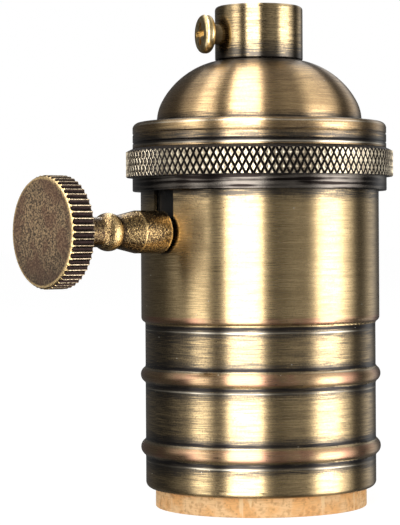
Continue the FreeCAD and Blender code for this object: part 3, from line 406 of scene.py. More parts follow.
class Brushing:
    """The marks of the brush at a point, which run round the holder's axis."""

    def __init__(self, spot: Spot) -> None:
        """Lay fine and coarse marks, a wide cloud and a small grain.

        Args:
            spot: The shaded point.
        """
        self.fine = spot.lathe_marks(3.4, 0.11, 3.0, 1.0)
        self.coarse = spot.lathe_marks(11.0, 0.45, 8.0, 1.0)
        self.cloud = spot.graph.noise(spot.place, 3.0, 0.16)
        self.grain = spot.graph.noise(spot.place, 1.0, 4.5)

    def streak(self) -> Field:
        """Give how far the marks drag the patina, about zero."""
        return (self.fine - 0.5) * 1.5 + (self.coarse - 0.5) * 0.6 + (self.grain - 0.5) * 0.5

    def relief(self) -> Field:
        """Give the marks' height in millimetres, about zero."""
        wide = (self.cloud - 0.5) * 0.01
        return (self.fine - 0.5) * 0.0014 + (self.coarse - 0.5) * 0.0012 + wide


@dataclass(frozen=True)
class AntiqueBrass(Finish):
    """Brass, blackened, then brushed back round its axis so that patina stays by the seams."""

    seams: tuple[Seam, ...]
    beads: tuple[float, ...] = ()
    bead_radius: float = 17.45
    gold: Colour = (0.53, 0.39, 0.205)
    olive: Colour = (0.30, 0.215, 0.11)
    # the patina's smoke; the painted shade by the stem and on the flank takes it too
    smoke: Colour = (0.08, 0.068, 0.055)
    patina: Colour = (0.016, 0.013, 0.012)
    copper: Colour = (0.42, 0.225, 0.14)
    # pale specks: partly dust, partly painted glints in pits
    dust: Colour = (0.85, 0.82, 0.72)
    # painted glint colour, brighter than the clean brass
    glint_tint: Colour = (0.86, 0.78, 0.62)
    scoring: float = 0.75
    roughness: float = 0.28
    stem_shade: StemShade | None = None
    side_shade: SideShade | None = None

    def smoke_and_shade(self, spot: Spot, marks: Brushing) -> Field:
        """Give how thick the patina's smoke and the painted shade lie, dragged into streaks by the
        brush.

        Args:
            spot: The shaded point.
            marks: The brush's marks there.

        Returns:
            The thickness, from 0 to 1.
        """
        lying = [seam.near(spot) for seam in self.seams]
        # painted shade by the stem, drawn in the smoke's colour
        if self.stem_shade:
            lying.append(self.stem_shade.near(spot))
        smoke = spot.graph.most(lying)
        # painted shade on the flank beside the knob, added to the smoke
        if self.side_shade:
            smoke = smoke + self.side_shade.near(spot)
        return (smoke + marks.streak() * (0.25 + 0.75 * smoke)).ramp(0.08, 0.85)

    def crowns(self, spot: Spot) -> Field:
        """Give 1 on the crowns of the beads."""
        level = spot.graph.most([abs(spot.z - bead).ramp(1.0, 0.7) for bead in self.beads])
        return level * spot.radius().ramp(self.bead_radius, self.bead_radius + 0.25)

    def shade(self, graph: Graph) -> Socket:
        """Draw brushed brass, its dark seams and its coppery beads.

        Args:
            graph: The material's nodes.

        Returns:
            The shader's socket.
        """
        spot = Spot(graph)
        marks = Brushing(spot)
        fine, coarse, cloud = marks.fine, marks.coarse, marks.cloud
        smoke = self.smoke_and_shade(spot, marks)
        line = graph.most([seam.core(spot) for seam in self.seams if seam.line])

        worn = (coarse * 0.6 + cloud * 0.6).ramp(0.44, 0.74)
        colour = graph.mix(worn * 0.5, self.gold, self.olive)
        scored = (fine * 0.6 + marks.grain * 0.4).ramp(0.43, 0.61)
        colour = graph.mix(scored * self.scoring, colour, self.olive)
        if self.beads:
            crowns = self.crowns(spot)
            rubbed = crowns * (0.35 + 0.6 * cloud.ramp(0.42, 0.58))
            colour = graph.mix(rubbed, colour, self.copper)
            smoke = smoke * (1.0 - crowns * 0.8)
        # the smoke colour, laid by the patina's seams and by the painted shade
        colour = graph.mix(smoke, colour, self.smoke)
        colour = graph.mix(line * (0.75 + 0.5 * fine.ramp(0.3, 0.6)), colour, self.patina)
        # painted glints: bright lines under the seams that stand in for reflections of thin edges
        edges = [seam.edge(spot) for seam in self.seams if seam.glint]
        if edges:
            bright = graph.most(edges) * (0.2 + 0.8 * coarse.ramp(0.42, 0.6))
            colour = graph.mix(bright, colour, self.glint_tint)
        specks = graph.cells(spot.place, 1.1).ramp(0.09, 0.05)
        colour = graph.mix(specks * 0.8, colour, self.patina)
        # pale specks, painted as dust and as small glints in pits
        dust_and_glint_specks = graph.cells(spot.place, 0.42).ramp(0.035, 0.02)
        colour = graph.mix(dust_and_glint_specks, colour, self.dust)

        rough = self.roughness + 0.22 * (fine - 0.5) + 0.04 * smoke + 0.4 * dust_and_glint_specks
        constants = {"Anisotropic": 0.85, "Anisotropic Rotation": 0.25}
        varying = {"Base Color": colour, "Metallic": 1.0 - 0.25 * line - 0.5 * dust_and_glint_specks,
                   "Roughness": rough}
        return graph.principled(constants, varying, marks.relief())


@dataclass(frozen=True)
class KnurledBrass(Finish):
    """The ring nut's brass: bright diamonds, black between them, and a dark plain band."""

    ring: "LockRing"
    land: Colour = (0.52, 0.45, 0.33)
    tarnish: Colour = (0.17, 0.13, 0.085)
    smoke: Colour = (0.12, 0.105, 0.09)
    patina: Colour = (0.012, 0.009, 0.008)

    def shade(self, graph: Graph) -> Socket:
        """Draw the ring by its radius: lands, grooves and the band under them.

        Args:
            graph: The material's nodes.

        Returns:
            The shader's socket.
        """
        spot = Spot(graph)
        ring = self.ring
        fine = graph.noise(spot.place, 3.0, 5.0)
        cloud = graph.noise(spot.place, 2.0, 0.35)
        turned = spot.lathe_marks(11.0, 0.4, 5.0, 1.0)
        worn_down = ring.radius - 0.28 * ring.groove_depth
        lit = (spot.radius() + (fine - 0.5) * 0.04).ramp(worn_down, ring.radius - 0.02)
        mottle = graph.noise(spot.place, 1.0, 1.3)
        dulled = (cloud * 0.5 + mottle * 0.5).ramp(0.4, 0.62) * 0.75
        colour = graph.mix(dulled, self.land, self.tarnish)
        colour = graph.mix(1.0 - lit, colour, self.patina)
        band = spot.z.ramp(ring.knurl_foot + 0.06, ring.knurl_foot - 0.06)
        worn = graph.mix((turned * 0.9 + cloud * 0.3).ramp(0.48, 0.68), self.smoke, self.patina)
        colour = graph.mix(band, colour, worn)
        varying = {"Base Color": colour, "Metallic": 0.75 + 0.25 * graph.most([lit, band]),
                   "Roughness": 0.42 - 0.14 * lit + 0.08 * fine - 0.22 * band}
        return graph.principled({}, varying, (fine - 0.5) * 0.006)


class KnobPoint:
    """Where a shaded point lies on the knob, with the noise there."""

    def __init__(self, spot: Spot, knob: "Switch") -> None:
        """Measure out along the shaft from the holder's axis, and round the shaft.

        Args:
            spot: The shaded point.
            knob: The knob's sizes.
        """
        self.out = spot.x * -1.0
        self.radius = spot.shaft_radius(knob.height)
        self.rise = spot.z - knob.height
        self.grain, self.fleck, self.spark, self.cloud = (
            spot.graph.noise(spot.place, 2.0, scale) for scale in (4.8, 3.0, 5.6, 0.35))


@dataclass(frozen=True)
class AgedBrass(Finish):
    """Cast brass left mottled: a speckled face, worn rims, dark flutes and a flecked stem."""

    knob: "Switch"
    speckle: Colour = (0.078, 0.049, 0.028)
    fleck: Colour = (0.39, 0.27, 0.145)
    brown: Colour = (0.011, 0.006, 0.005)
    rust: Colour = (0.115, 0.05, 0.03)
    rim: Colour = (0.58, 0.41, 0.19)
    ridge: Colour = (0.43, 0.34, 0.225)
    olive: Colour = (0.15, 0.095, 0.04)
    pit: Colour = (0.02, 0.012, 0.008)

    def face_colour(self, graph: Graph, at: KnobPoint) -> Socket:
        """Speckle the flat face, darker towards its edge, with painted shade towards its lower
        side.

        Args:
            graph: The material's nodes.
            at: The shaded point on the knob.

        Returns:
            The face's colour.
        """
        speckled = (at.grain * 0.5 + at.fleck * 0.5).ramp(0.44, 0.58)
        colour = graph.mix(speckled, self.speckle, self.fleck)
        colour = graph.mix(at.grain.ramp(0.5, 0.37) * 0.9, colour, self.brown)
        colour = graph.mix(at.cloud.ramp(0.45, 0.62) * 0.55, colour, self.rust)
        # painted shade: the face darker towards its lower side
        colour = graph.mix(at.rise.ramp(0.5, -self.knob.radius) * 0.6, colour, self.pit)
        return graph.mix(at.radius.ramp(4.5, self.knob.radius) * 0.25, colour, self.pit)

    def disc_colour(self, graph: Graph, at: KnobPoint, on_face: Field, flat: Field) -> Socket:
        """Colour the disc: its face and back, its flutes and their ridges, and its worn rim.

        Args:
            graph: The material's nodes.
            at: The shaded point.
            on_face: Where the face is.
            flat: Where the face and the back are.

        Returns:
            The disc's colour.
        """
        knob = self.knob
        run = graph.math("MULTIPLY", at.out - knob.shoulder, 1 / knob.bevel_depth, clamp=True)
        in_flute = (knob.radius - knob.bevel * run - at.radius).ramp(0.012, 0.1)
        ridge = graph.mix(at.grain.ramp(0.4, 0.65) * 0.6, self.ridge, self.speckle)
        flute = graph.mix(in_flute, ridge, self.brown)
        rim = graph.mix(at.grain.ramp(0.45, 0.7) * 0.5, self.rim, self.olive)
        near_rim = at.radius.ramp(knob.radius - 0.7, knob.radius - 0.42) * on_face
        on_bevel = (at.out.ramp(knob.face - 0.5, knob.face - 0.42)
                    * at.radius.ramp(knob.radius - 0.8, knob.radius - 0.5))
        colour = graph.mix(flat, flute, self.face_colour(graph, at))
        colour = graph.mix(near_rim * at.grain.ramp(0.3, 0.55), colour, rim)
        return graph.mix(on_bevel * (1.0 - on_face) * (1.0 - in_flute), colour, rim)

    def stem_colour(self, graph: Graph, at: KnobPoint) -> Socket:
        """Fleck the stem, golden on its bead and edges and dark in its notch and waist.

        Args:
            graph: The material's nodes.
            at: The shaded point on the knob.

        Returns:
            The stem's colour.
        """
        knob = self.knob
        dull = (at.grain * 0.6 + at.fleck * 0.4).ramp(0.38, 0.54)
        colour = graph.mix(dull, self.pit, self.olive)
        golden = (at.grain * 0.4 + at.spark * 0.6).ramp(0.5, 0.61) * 0.66
        colour = graph.mix(golden, colour, self.rim)
        bead = abs(at.out - (knob.bead_start + knob.bead_end) / 2).ramp(1.5, 0.8)
        bead = bead * at.radius.ramp(knob.notch + 0.15, knob.notch + 0.4) * 0.7
        edge = abs(at.out - knob.taper_start).ramp(0.22, 0.06) * 0.6
        end = at.out.ramp(knob.stem_end + 0.5, knob.stem_end + 0.3)
        colour = graph.mix(graph.most([bead, edge, end]), colour, self.rim)
        notch = abs(at.out - knob.bead_start + 0.1).ramp(0.45, 0.15)
        colour = graph.mix(notch * 0.75, colour, self.pit)
        waist = at.out.ramp(knob.bead_end + 0.2, knob.bead_end + 0.6)
        return graph.mix(waist * 0.6, colour, self.pit)

    def shade(self, graph: Graph) -> Socket:
        """Draw the knob by its distance from the holder's axis and from the shaft's.

        Args:
            graph: The material's nodes.

        Returns:
            The shader's socket.
        """
        spot = Spot(graph)
        knob = self.knob
        at = KnobPoint(spot, knob)
        on_disc = at.out.ramp(knob.back - 0.4, knob.back)
        on_face = at.out.ramp(knob.face - 0.12, knob.face - 0.02)
        on_back = on_disc * at.out.ramp(knob.back + 0.12, knob.back + 0.03)
        flat = graph.most([on_face, on_back])
        disc = self.disc_colour(graph, at, on_face, flat)
        varying = {"Base Color": graph.mix(on_disc, self.stem_colour(graph, at), disc),
                   "Metallic": 0.95 - 0.6 * flat,
                   "Roughness": 0.16 + 0.36 * flat + 0.16 * at.grain}
        relief = (at.grain - 0.5) * 0.06 + (at.fleck - 0.5) * 0.04
        return graph.principled({}, varying, relief)


@dataclass(frozen=True)
class BrightBrass(Finish):
    """Plain yellow brass with a few dark spots, and painted shade near the axis where that is asked
    for.
    """

    gold: Colour = (0.64, 0.50, 0.27)
    deep: Colour = (0.34, 0.24, 0.10)
    spot_and_shade_tone: Colour = (0.03, 0.02, 0.01)
    shaded_within: float = 0.0

    def shade(self, graph: Graph) -> Socket:
        """Draw cloudy yellow brass with spots, and painted shade near the axis.

        Args:
            graph: The material's nodes.

        Returns:
            The shader's socket.
        """
        spot = Spot(graph)
        cloud = graph.noise(spot.place, 3.0, 0.9)
        grain = graph.noise(spot.place, 2.0, 5.0)
        dots = graph.cells(spot.place, 1.25).ramp(0.2, 0.1)
        colour = graph.mix(cloud.ramp(0.35, 0.65), self.gold, self.deep)
        # painted shade on the grip screw's shank and the head's underside, in the gap by the neck
        if self.shaded_within:
            painted_shank_shade = spot.radius().ramp(self.shaded_within, self.shaded_within - 0.5)
            dots = graph.most([dots, painted_shank_shade * 0.85])
        colour = graph.mix(dots, colour, self.spot_and_shade_tone)
        varying = {"Base Color": colour, "Metallic": 1.0 - 0.4 * dots,
                   "Roughness": 0.24 + 0.12 * cloud + 0.3 * dots}
        return graph.principled({}, varying, (grain - 0.5) * 0.008 + (cloud - 0.5) * 0.03)


@dataclass(frozen=True)
class Metal(Finish):
    """Stamped or plated metal inside the holder."""

    light: Colour
    dull: Colour
    roughness: float = 0.3

    def shade(self, graph: Graph) -> Socket:
        """Draw faintly clouded metal with a fine grain.

        Args:
            graph: The material's nodes.

        Returns:
            The shader's socket.
        """
        spot = Spot(graph)
        cloud = graph.noise(spot.place, 3.0, 0.5)
        grain = graph.noise(spot.place, 2.0, 6.0)
        colour = graph.mix(cloud.ramp(0.35, 0.7), self.light, self.dull)
        varying = {"Base Color": colour, "Roughness": self.roughness + 0.14 * cloud}
        return graph.principled({"Metallic": 1.0}, varying, (grain - 0.5) * 0.006)


@dataclass(frozen=True)
class BlackMoulding(Finish):
    """Moulded black insulation, faintly mottled."""

    black: Colour = (0.004, 0.004, 0.004)
    dust: Colour = (0.02, 0.018, 0.016)

    def shade(self, graph: Graph) -> Socket:
        """Draw the moulding with a soft mottle.

        Args:
            graph: The material's nodes.

        Returns:
            The shader's socket.
        """
        spot = Spot(graph)
        cloud = graph.noise(spot.place, 4.0, 0.7)
        grain = graph.noise(spot.place, 2.0, 4.0)
        colour = graph.mix(cloud.ramp(0.5, 0.8) * 0.6, self.black, self.dust)
        varying = {"Base Color": colour, "Roughness": 0.42 + 0.2 * grain}
        return graph.principled({"Specular IOR Level": 0.15}, varying, (grain - 0.5) * 0.01)


@dataclass(frozen=True)
class Board(Finish):
    """Tan fibre board with flecks, fine fibres and a few pale scratches."""

    tan: Colour = (0.90, 0.50, 0.19)
    pale: Colour = (0.99, 0.74, 0.42)
    brown: Colour = (0.46, 0.19, 0.05)

    def shade(self, graph: Graph) -> Socket:
        """Draw the board's fibres, flecks and scratches.

        Args:
            graph: The material's nodes.

        Returns:
            The shader's socket.
        """
        spot = Spot(graph)
        fibre = spot.lathe_marks(1.6, 0.2, 5.0, 3.0)
        cloud = graph.noise(spot.place, 4.0, 0.3)
        grain = graph.noise(spot.place, 2.0, 1.5)
        fleck = graph.cells(spot.place, 1.1).ramp(0.22, 0.08)
        drawn_out = graph.vector(spot.x * 0.9, spot.y * 0.9, spot.z * 0.12)
        scratch = graph.noise(drawn_out, 3.0).ramp(0.6, 0.68)
        colour = graph.mix(cloud.ramp(0.4, 0.62) * 0.6, self.tan, self.pale)
        colour = graph.mix(fibre.ramp(0.45, 0.7) * 0.3, colour, self.brown)
        colour = graph.mix(grain.ramp(0.48, 0.68) * 0.5, colour, self.brown)
        colour = graph.mix(fleck * 0.5, colour, self.brown)
        colour = graph.mix(scratch * 0.7, colour, self.pale)
        varying = {"Base Color": colour, "Roughness": 0.62 + 0.2 * fibre}
        return graph.principled({}, varying, (fibre - 0.5) * 0.03 + (cloud - 0.5) * 0.05)


STRIP_BRASS = Metal("strip", (0.72, 0.52, 0.22), (0.5, 0.34, 0.13))
PLATED_STEEL = Metal("plated_steel", (0.55, 0.55, 0.54), (0.38, 0.38, 0.38), 0.28)
SPRING_BRONZE = Metal("spring_bronze", (0.62, 0.38, 0.2), (0.42, 0.24, 0.12))
MOULDING = BlackMoulding("moulding")


# --------------------------------------------------------------------------------------------
# meshes


def rounded(corners: Sequence[tuple[float, ...]], closed: bool = True,
            steps: int = 4) -> list[Point]:
    """Round the corners of an outline.

    Args:
        corners: Each corner's distance from the axis and place along it, and its rounding if any.
        closed: Whether the outline runs back to its start.
        steps: How many runs make up a rounding.

    Returns:
        The outline's points.
    """
    points: list[Point] = []
    count = len(corners)
    for index, (across, up, *bend) in enumerate(corners):
        here = Vector((across, up))
        radius = bend[0] if bend else 0.0
        at_end = not closed and index in (0, count - 1)
        if not radius or at_end:
            points.append((across, up))
            continue
        back = (Vector(corners[index - 1][:2]) - here).normalized()
        ahead = (Vector(corners[(index + 1) % count][:2]) - here).normalized()
        half = back.angle(ahead) / 2
        reach = radius / math.tan(half)
        middle = here + (back + ahead).normalized() * (radius / math.sin(half))
        start = here + back * reach - middle
        sweep = start.angle_signed(here + ahead * reach - middle)
        for step in range(steps + 1):
            turn = -sweep * step / steps
            cosine, sine = math.cos(turn), math.sin(turn)
            points.append((middle.x + start.x * cosine - start.y * sine,
                           middle.y + start.x * sine + start.y * cosine))
    return points


def bulge(begin: Point, end: Point, radius: float, steps: int = 10) -> list[Point]:
    """Give the points of an arc that bulges away from the axis.

    Args:
        begin: The arc's first end, as a distance from the axis and a place along it.
        end: Its other end.
        radius: Its radius.
        steps: How many runs make up the arc.

    Returns:
        The arc's points, both ends among them.
    """
    first, last = Vector(begin), Vector(end)
    chord = last - first
    height = math.sqrt(radius ** 2 - chord.length_squared / 4)
    inward = Vector((-1.0, 0.0))
    middle = (first + last) / 2 + (inward - inward.project(chord)).normalized() * height
    arms = [first - middle, last - middle]
    angles = [math.atan2(arm.y, arm.x) for arm in arms]
    return [(middle.x + radius * math.cos(angle), middle.y + radius * math.sin(angle))
            for angle in (angles[0] + (angles[1] - angles[0]) * step / steps
                          for step in range(steps + 1))]


def upright(radius: float, along: float, turn: float) -> Vector:
    """Place a point of a piece that is turned about the holder's axis."""
    return Vector((radius * math.cos(turn), radius * math.sin(turn), along))


def finished_mesh(name: str, mesh: Mesh, crease: float) -> Piece:
    """Turn a mesh in millimetres into an object in metres.

    Args:
        name: The piece's name.
        mesh: Its mesh, which is used up.
        crease: The angle in degrees past which an edge is sharp.

    Returns:
        The piece.
    """
    bmesh.ops.remove_doubles(mesh, verts=mesh.verts[:], dist=WELD)
    bmesh.ops.recalc_face_normals(mesh, faces=mesh.faces[:])
    bmesh.ops.scale(mesh, vec=(MM, MM, MM), verts=mesh.verts[:])
    for face in mesh.faces:
        face.smooth = True
    data = bpy.data.meshes.new(name)
    mesh.to_mesh(data)
    mesh.free()
    data.set_sharp_from_angle(angle=math.radians(crease))
    piece = bpy.data.objects.new(name, data)
    bpy.context.scene.collection.objects.link(piece)
    return piece


def revolve(outline: Sequence[Point], columns: int, closed: bool = True,
            place: Callable[[float, float, float], Vector] = upright) -> Mesh:
    """Turn an outline into a mesh.

    Args:
        outline: Points as distances from the axis and places along it.
        columns: How many faces go round.
        closed: Whether the outline's last point joins its first.
        place: Where a distance, a place along the axis and a turn put a point.

    Returns:
        The mesh, in millimetres.
    """
    mesh = bmesh.new()
    rings = [[mesh.verts.new(place(radius, along, FULL_TURN * column / columns))
              for column in range(columns)] for radius, along in outline]
    pairs = list(zip(rings, rings[1:]))
    if closed:
        pairs.append((rings[-1], rings[0]))
    for low, high in pairs:
        for column in range(columns):
            after = (column + 1) % columns
            mesh.faces.new((low[column], low[after], high[after], high[column]))
    if not closed:
        bmesh.ops.remove_doubles(mesh, verts=rings[0] + rings[-1], dist=WELD)
    return mesh


def turn_of(vertex: Vertex) -> float:
    """Give a vertex's angle round the holder's axis, from 0 to a full turn."""
    return math.atan2(vertex.co.y, vertex.co.x) % FULL_TURN


def stitch(mesh: Mesh, first: Iterable[Vertex], second: Iterable[Vertex]) -> None:
    """Join two rings of vertices by a strip of triangles.

    Args:
        mesh: The mesh that both rings are in.
        first: One ring's vertices, in any order.
        second: The other's.
    """
    rings = [sorted(ring, key=turn_of) for ring in (first, second)]
    turns = [[turn_of(vertex) for vertex in ring] for ring in rings]
    for ring, angles in zip(rings, turns):
        ring.append(ring[0])
        angles.append(angles[0] + FULL_TURN)
    at = [0, 0]
    ends = [len(ring) - 1 for ring in rings]
    while at != ends:
        ready = [at[side] < ends[side] for side in (0, 1)]
        if all(ready):
            side = 0 if turns[0][at[0] + 1] <= turns[1][at[1] + 1] else 1
        else:
            side = ready.index(True)
        corners = [rings[0][at[0]], rings[1][at[1]], rings[side][at[side] + 1]]
        mesh.faces.new(corners)
        at[side] += 1


def lips(mesh: Mesh, height: float) -> list[Edge]:
    """Find the open edges at a height."""
    return [edge for edge in mesh.edges if edge.is_boundary
            and all(abs(vertex.co.z - height) < NEAR for vertex in edge.verts)]


def draw_on(mesh: Mesh, edges: list[Edge], section: Iterable[Point]) -> list[Vertex]:
    """Draw a ring of open edges through the points of a section.

    Args:
        mesh: The mesh that the edges are in.
        edges: The open edges.
        section: Distances from the axis and heights, in order.

    Returns:
        The vertices at the section's end.
    """
    ring: list[Vertex] = []
    for radius, height in section:
        made = bmesh.ops.extrude_edge_only(mesh, edges=edges)["geom"]
        edges = [item for item in made if isinstance(item, Edge)]
        ring = [item for item in made if isinstance(item, Vertex)]
        for vertex in ring:
            vertex.co = upright(radius, height, turn_of(vertex))
    return ring


# --------------------------------------------------------------------------------------------
# the pieces


def dressed(piece: Piece, finish: Finish) -> Piece:
    """Give a piece one finish all over.

    Args:
        piece: The piece.
        finish: Its finish.

    Returns:
        The piece.
    """
    piece.data.materials.clear()
    piece.data.materials.append(finish.material())
    return piece


def placed(piece: Piece, body: str, node: str) -> Piece:
    """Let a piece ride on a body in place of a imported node.

    Args:
        piece: The piece.
        body: The body that it moves with.
        node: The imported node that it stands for.

    Returns:
        The piece.
    """
    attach(piece, body)
    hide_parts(node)
    return piece


def box_of(node: str) -> tuple[Vector, Vector]:
    """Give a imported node's corners in millimetres."""
    low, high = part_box(node)
    return low / MM, high / MM


def carried(finishes: Mapping[str, Finish]) -> list[Piece]:
    """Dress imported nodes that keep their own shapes."""
    return [dressed(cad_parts[node], finish) for node, finish in finishes.items()]


class Assembly(ABC):
    """A group of pieces that belong together."""

    @abstractmethod
    def build(self) -> list[Piece]:
        """Build and dress the group's pieces."""


@dataclass
class Housing(Assembly):
    """The drawn shell, the domed cap and the neck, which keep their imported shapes."""

    low_bead: float = 8.9
    high_bead: float = 19.75
    step: float = 27.35
    bead_half: float = 1.42
    ring_foot: float = 47.0
    ledge: float = 57.4
    grooves: Span = (54.3, 55.6)
    neck_foot: float = 66.7

    def shell_finish(self) -> AntiqueBrass:
        """Brushed brass with patina by the beads and the step, the wall below the step darker,
        painted shade by the stem and on the knob's flank, and painted glints under the lines.

        Returns:
            The shell's finish.
        """
        # the wall below the step darker, most just under the step and less towards the foot
        seams = [Seam(self.step, 40.0, 0.1, strength=0.42, line=0.0),
                 Seam(self.step - 0.25, 2.8, 0.2, strength=0.95, glint=0.6, glint_drop=0.62),
                 Seam(self.ring_foot, 2.4, 4.0, strength=0.8, line=0.0)]
        for bead in (self.low_bead, self.high_bead):
            seams.append(Seam(bead - self.bead_half, 2.6, 0.7, strength=0.95, glint=0.55))
            seams.append(Seam(bead + self.bead_half, 0.6, 2.1, strength=0.85, glint=0.35,
                              glint_drop=0.4))
        low, high = box_of("switch_knob")
        return AntiqueBrass("shell", tuple(seams), (self.low_bead, self.high_bead, self.step + 0.4),
                            stem_shade=StemShade((low.z + high.z) / 2), side_shade=SideShade(self.step))

    def cap_finish(self) -> AntiqueBrass:
        """Brushed brass, darker where the dome meets its ledge and in the turned grooves.

        Returns:
            The cap's finish.
        """
        ring_top = box_of("lock_ring")[1].z
        dome_top = box_of("dome_cap")[1].z
        low_groove, high_groove = self.grooves
        seams = (Seam(self.ledge, 0.1, 1.5, strength=0.85, line=0.5, glint=0.7),
                 Seam(ring_top + 0.5, 0.6, 3.0, line=0.0, glint=0.8, glint_drop=0.1),
                 Seam(low_groove, 0.3, 0.3, strength=0.8, line=0.9),
                 Seam(high_groove, 0.3, 0.3, strength=0.5, line=0.3),
                 Seam(dome_top, 2.6, 0.3, strength=0.85, line=0.0),
                 Seam(dome_top, 7.0, 0.3, strength=0.4, line=0.0))
        return AntiqueBrass("cap", seams, gold=(0.54, 0.375, 0.19), olive=(0.28, 0.18, 0.095))

    def neck_finish(self) -> AntiqueBrass:
        """Brushed brass, dark round the neck's foot.

        Returns:
            The neck's finish.
        """
        seams = (Seam(self.neck_foot, 0.6, 4.2, line=0.8),
                 Seam(self.neck_foot, 1.0, 40.0, strength=0.35, line=0.0))
        return AntiqueBrass("neck", seams, scoring=1.0, roughness=0.24)

    def build(self) -> list[Piece]:
        """Dress the shell, the cap, the neck and its screw.

        Returns:
            The housing's pieces.
        """
        return carried({"outer_shell": self.shell_finish(), "dome_cap": self.cap_finish(),
                        "neck_bush": self.neck_finish(),
                        "neck_screw": BrightBrass("neck_screw", shaded_within=8.5)})


@dataclass
class LockRing(Assembly):
    """The ring nut: a plain band and lip, and a diamond-knurled band with a bevelled top."""

    diamonds: int = 120
    diamond_height: float = 2.03
    groove_share: float = 0.22
    groove_depth: float = 0.3
    dimple: float = 0.06
    dimple_reach: float = 0.16
    edge_break: float = 0.12
    bevel_height: float = 0.5
    bevel_width: float = 1.0
    band_radius: float = 19.1
    bore: float = 18.55
    lip_bore: float = 18.0
    lip_depth: float = 1.75
    band_height: float = 2.1

    def __post_init__(self) -> None:
        """Read the ring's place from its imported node."""
        low, high = box_of("lock_ring")
        self.foot, self.top = low.z, high.z
        self.radius = high.x
        self.knurl_foot = self.foot + self.band_height

    def depth_at(self, turns: float, height: float) -> float:
        """Give how far the knurl is cut at a place.

        Args:
            turns: The place round the ring, counted in diamonds.
            height: The height over the knurl's foot.

        Returns:
            The depth under the lands.
        """
        lean = height / self.diamond_height
        shares = [(turns + way * lean + 0.5) % 1.0 for way in (1, -1)]
        edges = [min(share, 1.0 - share) for share in shares]
        cut = max(max(0.0, 1.0 - edge / self.groove_share) for edge in edges)
        middle = max(0.0, 1.0 - math.dist(shares, (0.5, 0.5)) / self.dimple_reach)
        return self.groove_depth * cut + self.dimple * middle

    def lattice(self) -> Mesh:
        """Lay the knurl's diamonds out flat, round the ring along X and up along Z.

        Returns:
            The flat knurl: X counts diamonds, Z is the height over the knurl's foot.
        """
        share, reach = self.groove_share, self.dimple_reach
        half = [0.0, share, (share + 0.5 - reach) / 2, 0.5 - reach / 2]
        stops = [*half, 0.5, *(1.0 - stop for stop in reversed(half))]
        rows = math.ceil(2 * (self.top - self.knurl_foot) / self.diamond_height) + 1
        mesh = bmesh.new()
        for row in range(-1, rows + 1):
            for index in range(self.diamonds):
                middle = index + (row % 2) / 2
                grid = [[mesh.verts.new((middle + (right + left - 1) / 2, 0.0,
                                         (row + right - left) * self.diamond_height / 2))
                         for right in stops] for left in stops]
                for lower, upper in zip(grid, grid[1:]):
                    for side in range(len(stops) - 1):
                        mesh.faces.new((lower[side], lower[side + 1], upper[side + 1], upper[side]))
        return mesh

    def trim(self, mesh: Mesh) -> None:
        """Cut the flat knurl to the ring's height, with lines where its edges are broken.

        Args:
            mesh: The flat knurl.
        """
        tall = self.top - self.knurl_foot
        bevel = tall - self.bevel_height
        fade = self.bevel_height * self.groove_depth / self.bevel_width
        lines = (0.0, self.edge_break, bevel, bevel + fade / 2, bevel + fade, tall)
        for height in lines:
            bmesh.ops.bisect_plane(mesh, geom=mesh.verts[:] + mesh.edges[:] + mesh.faces[:],
                                   plane_co=(0, 0, height), plane_no=(0, 0, 1), dist=1e-5,
                                   clear_inner=height == 0.0, clear_outer=height == tall)

    def wrap(self, mesh: Mesh) -> None:
        """Cut the grooves and the bevels, and bend the flat knurl round the axis.

        Args:
            mesh: The flat knurl, cut to height.
        """
        tall = self.top - self.knurl_foot
        slope = self.bevel_width / self.bevel_height
        for vertex in mesh.verts:
            turns, height = vertex.co.x, vertex.co.z
            knurl = self.radius - self.depth_at(turns, height)
            bevel = self.radius - slope * max(0.0, height - (tall - self.bevel_height))
            foot = self.radius - self.edge_break + height
            radius = min(knurl, bevel, foot)
            vertex.co = upright(radius, self.knurl_foot + height,
                                FULL_TURN * turns / self.diamonds)
        bmesh.ops.remove_doubles(mesh, verts=mesh.verts[:], dist=NEAR)

    def build(self) -> list[Piece]:
        """Build the ring with its knurl and dress it.

        Returns:
            The ring.
        """
        mesh = self.lattice()
        self.trim(mesh)
        self.wrap(mesh)
        small = self.edge_break
        lip = self.foot + self.lip_depth
        top = draw_on(mesh, lips(mesh, self.top), (
            (self.bore + small, self.top), (self.bore, self.top - small), (self.bore, lip),
            (self.lip_bore, lip), (self.lip_bore, self.foot + small),
            (self.lip_bore + small, self.foot), (self.band_radius - small, self.foot),
            (self.band_radius, self.foot + small), (self.band_radius, self.knurl_foot - small)))
        under = draw_on(mesh, lips(mesh, self.knurl_foot), ((self.band_radius, self.knurl_foot),))
        stitch(mesh, top, under)
        ring = finished_mesh("lock_ring_knurled", mesh, crease=24.0)
        dressed(ring, KnurledBrass("ring", self))
        return [placed(ring, "ring", "lock_ring")]


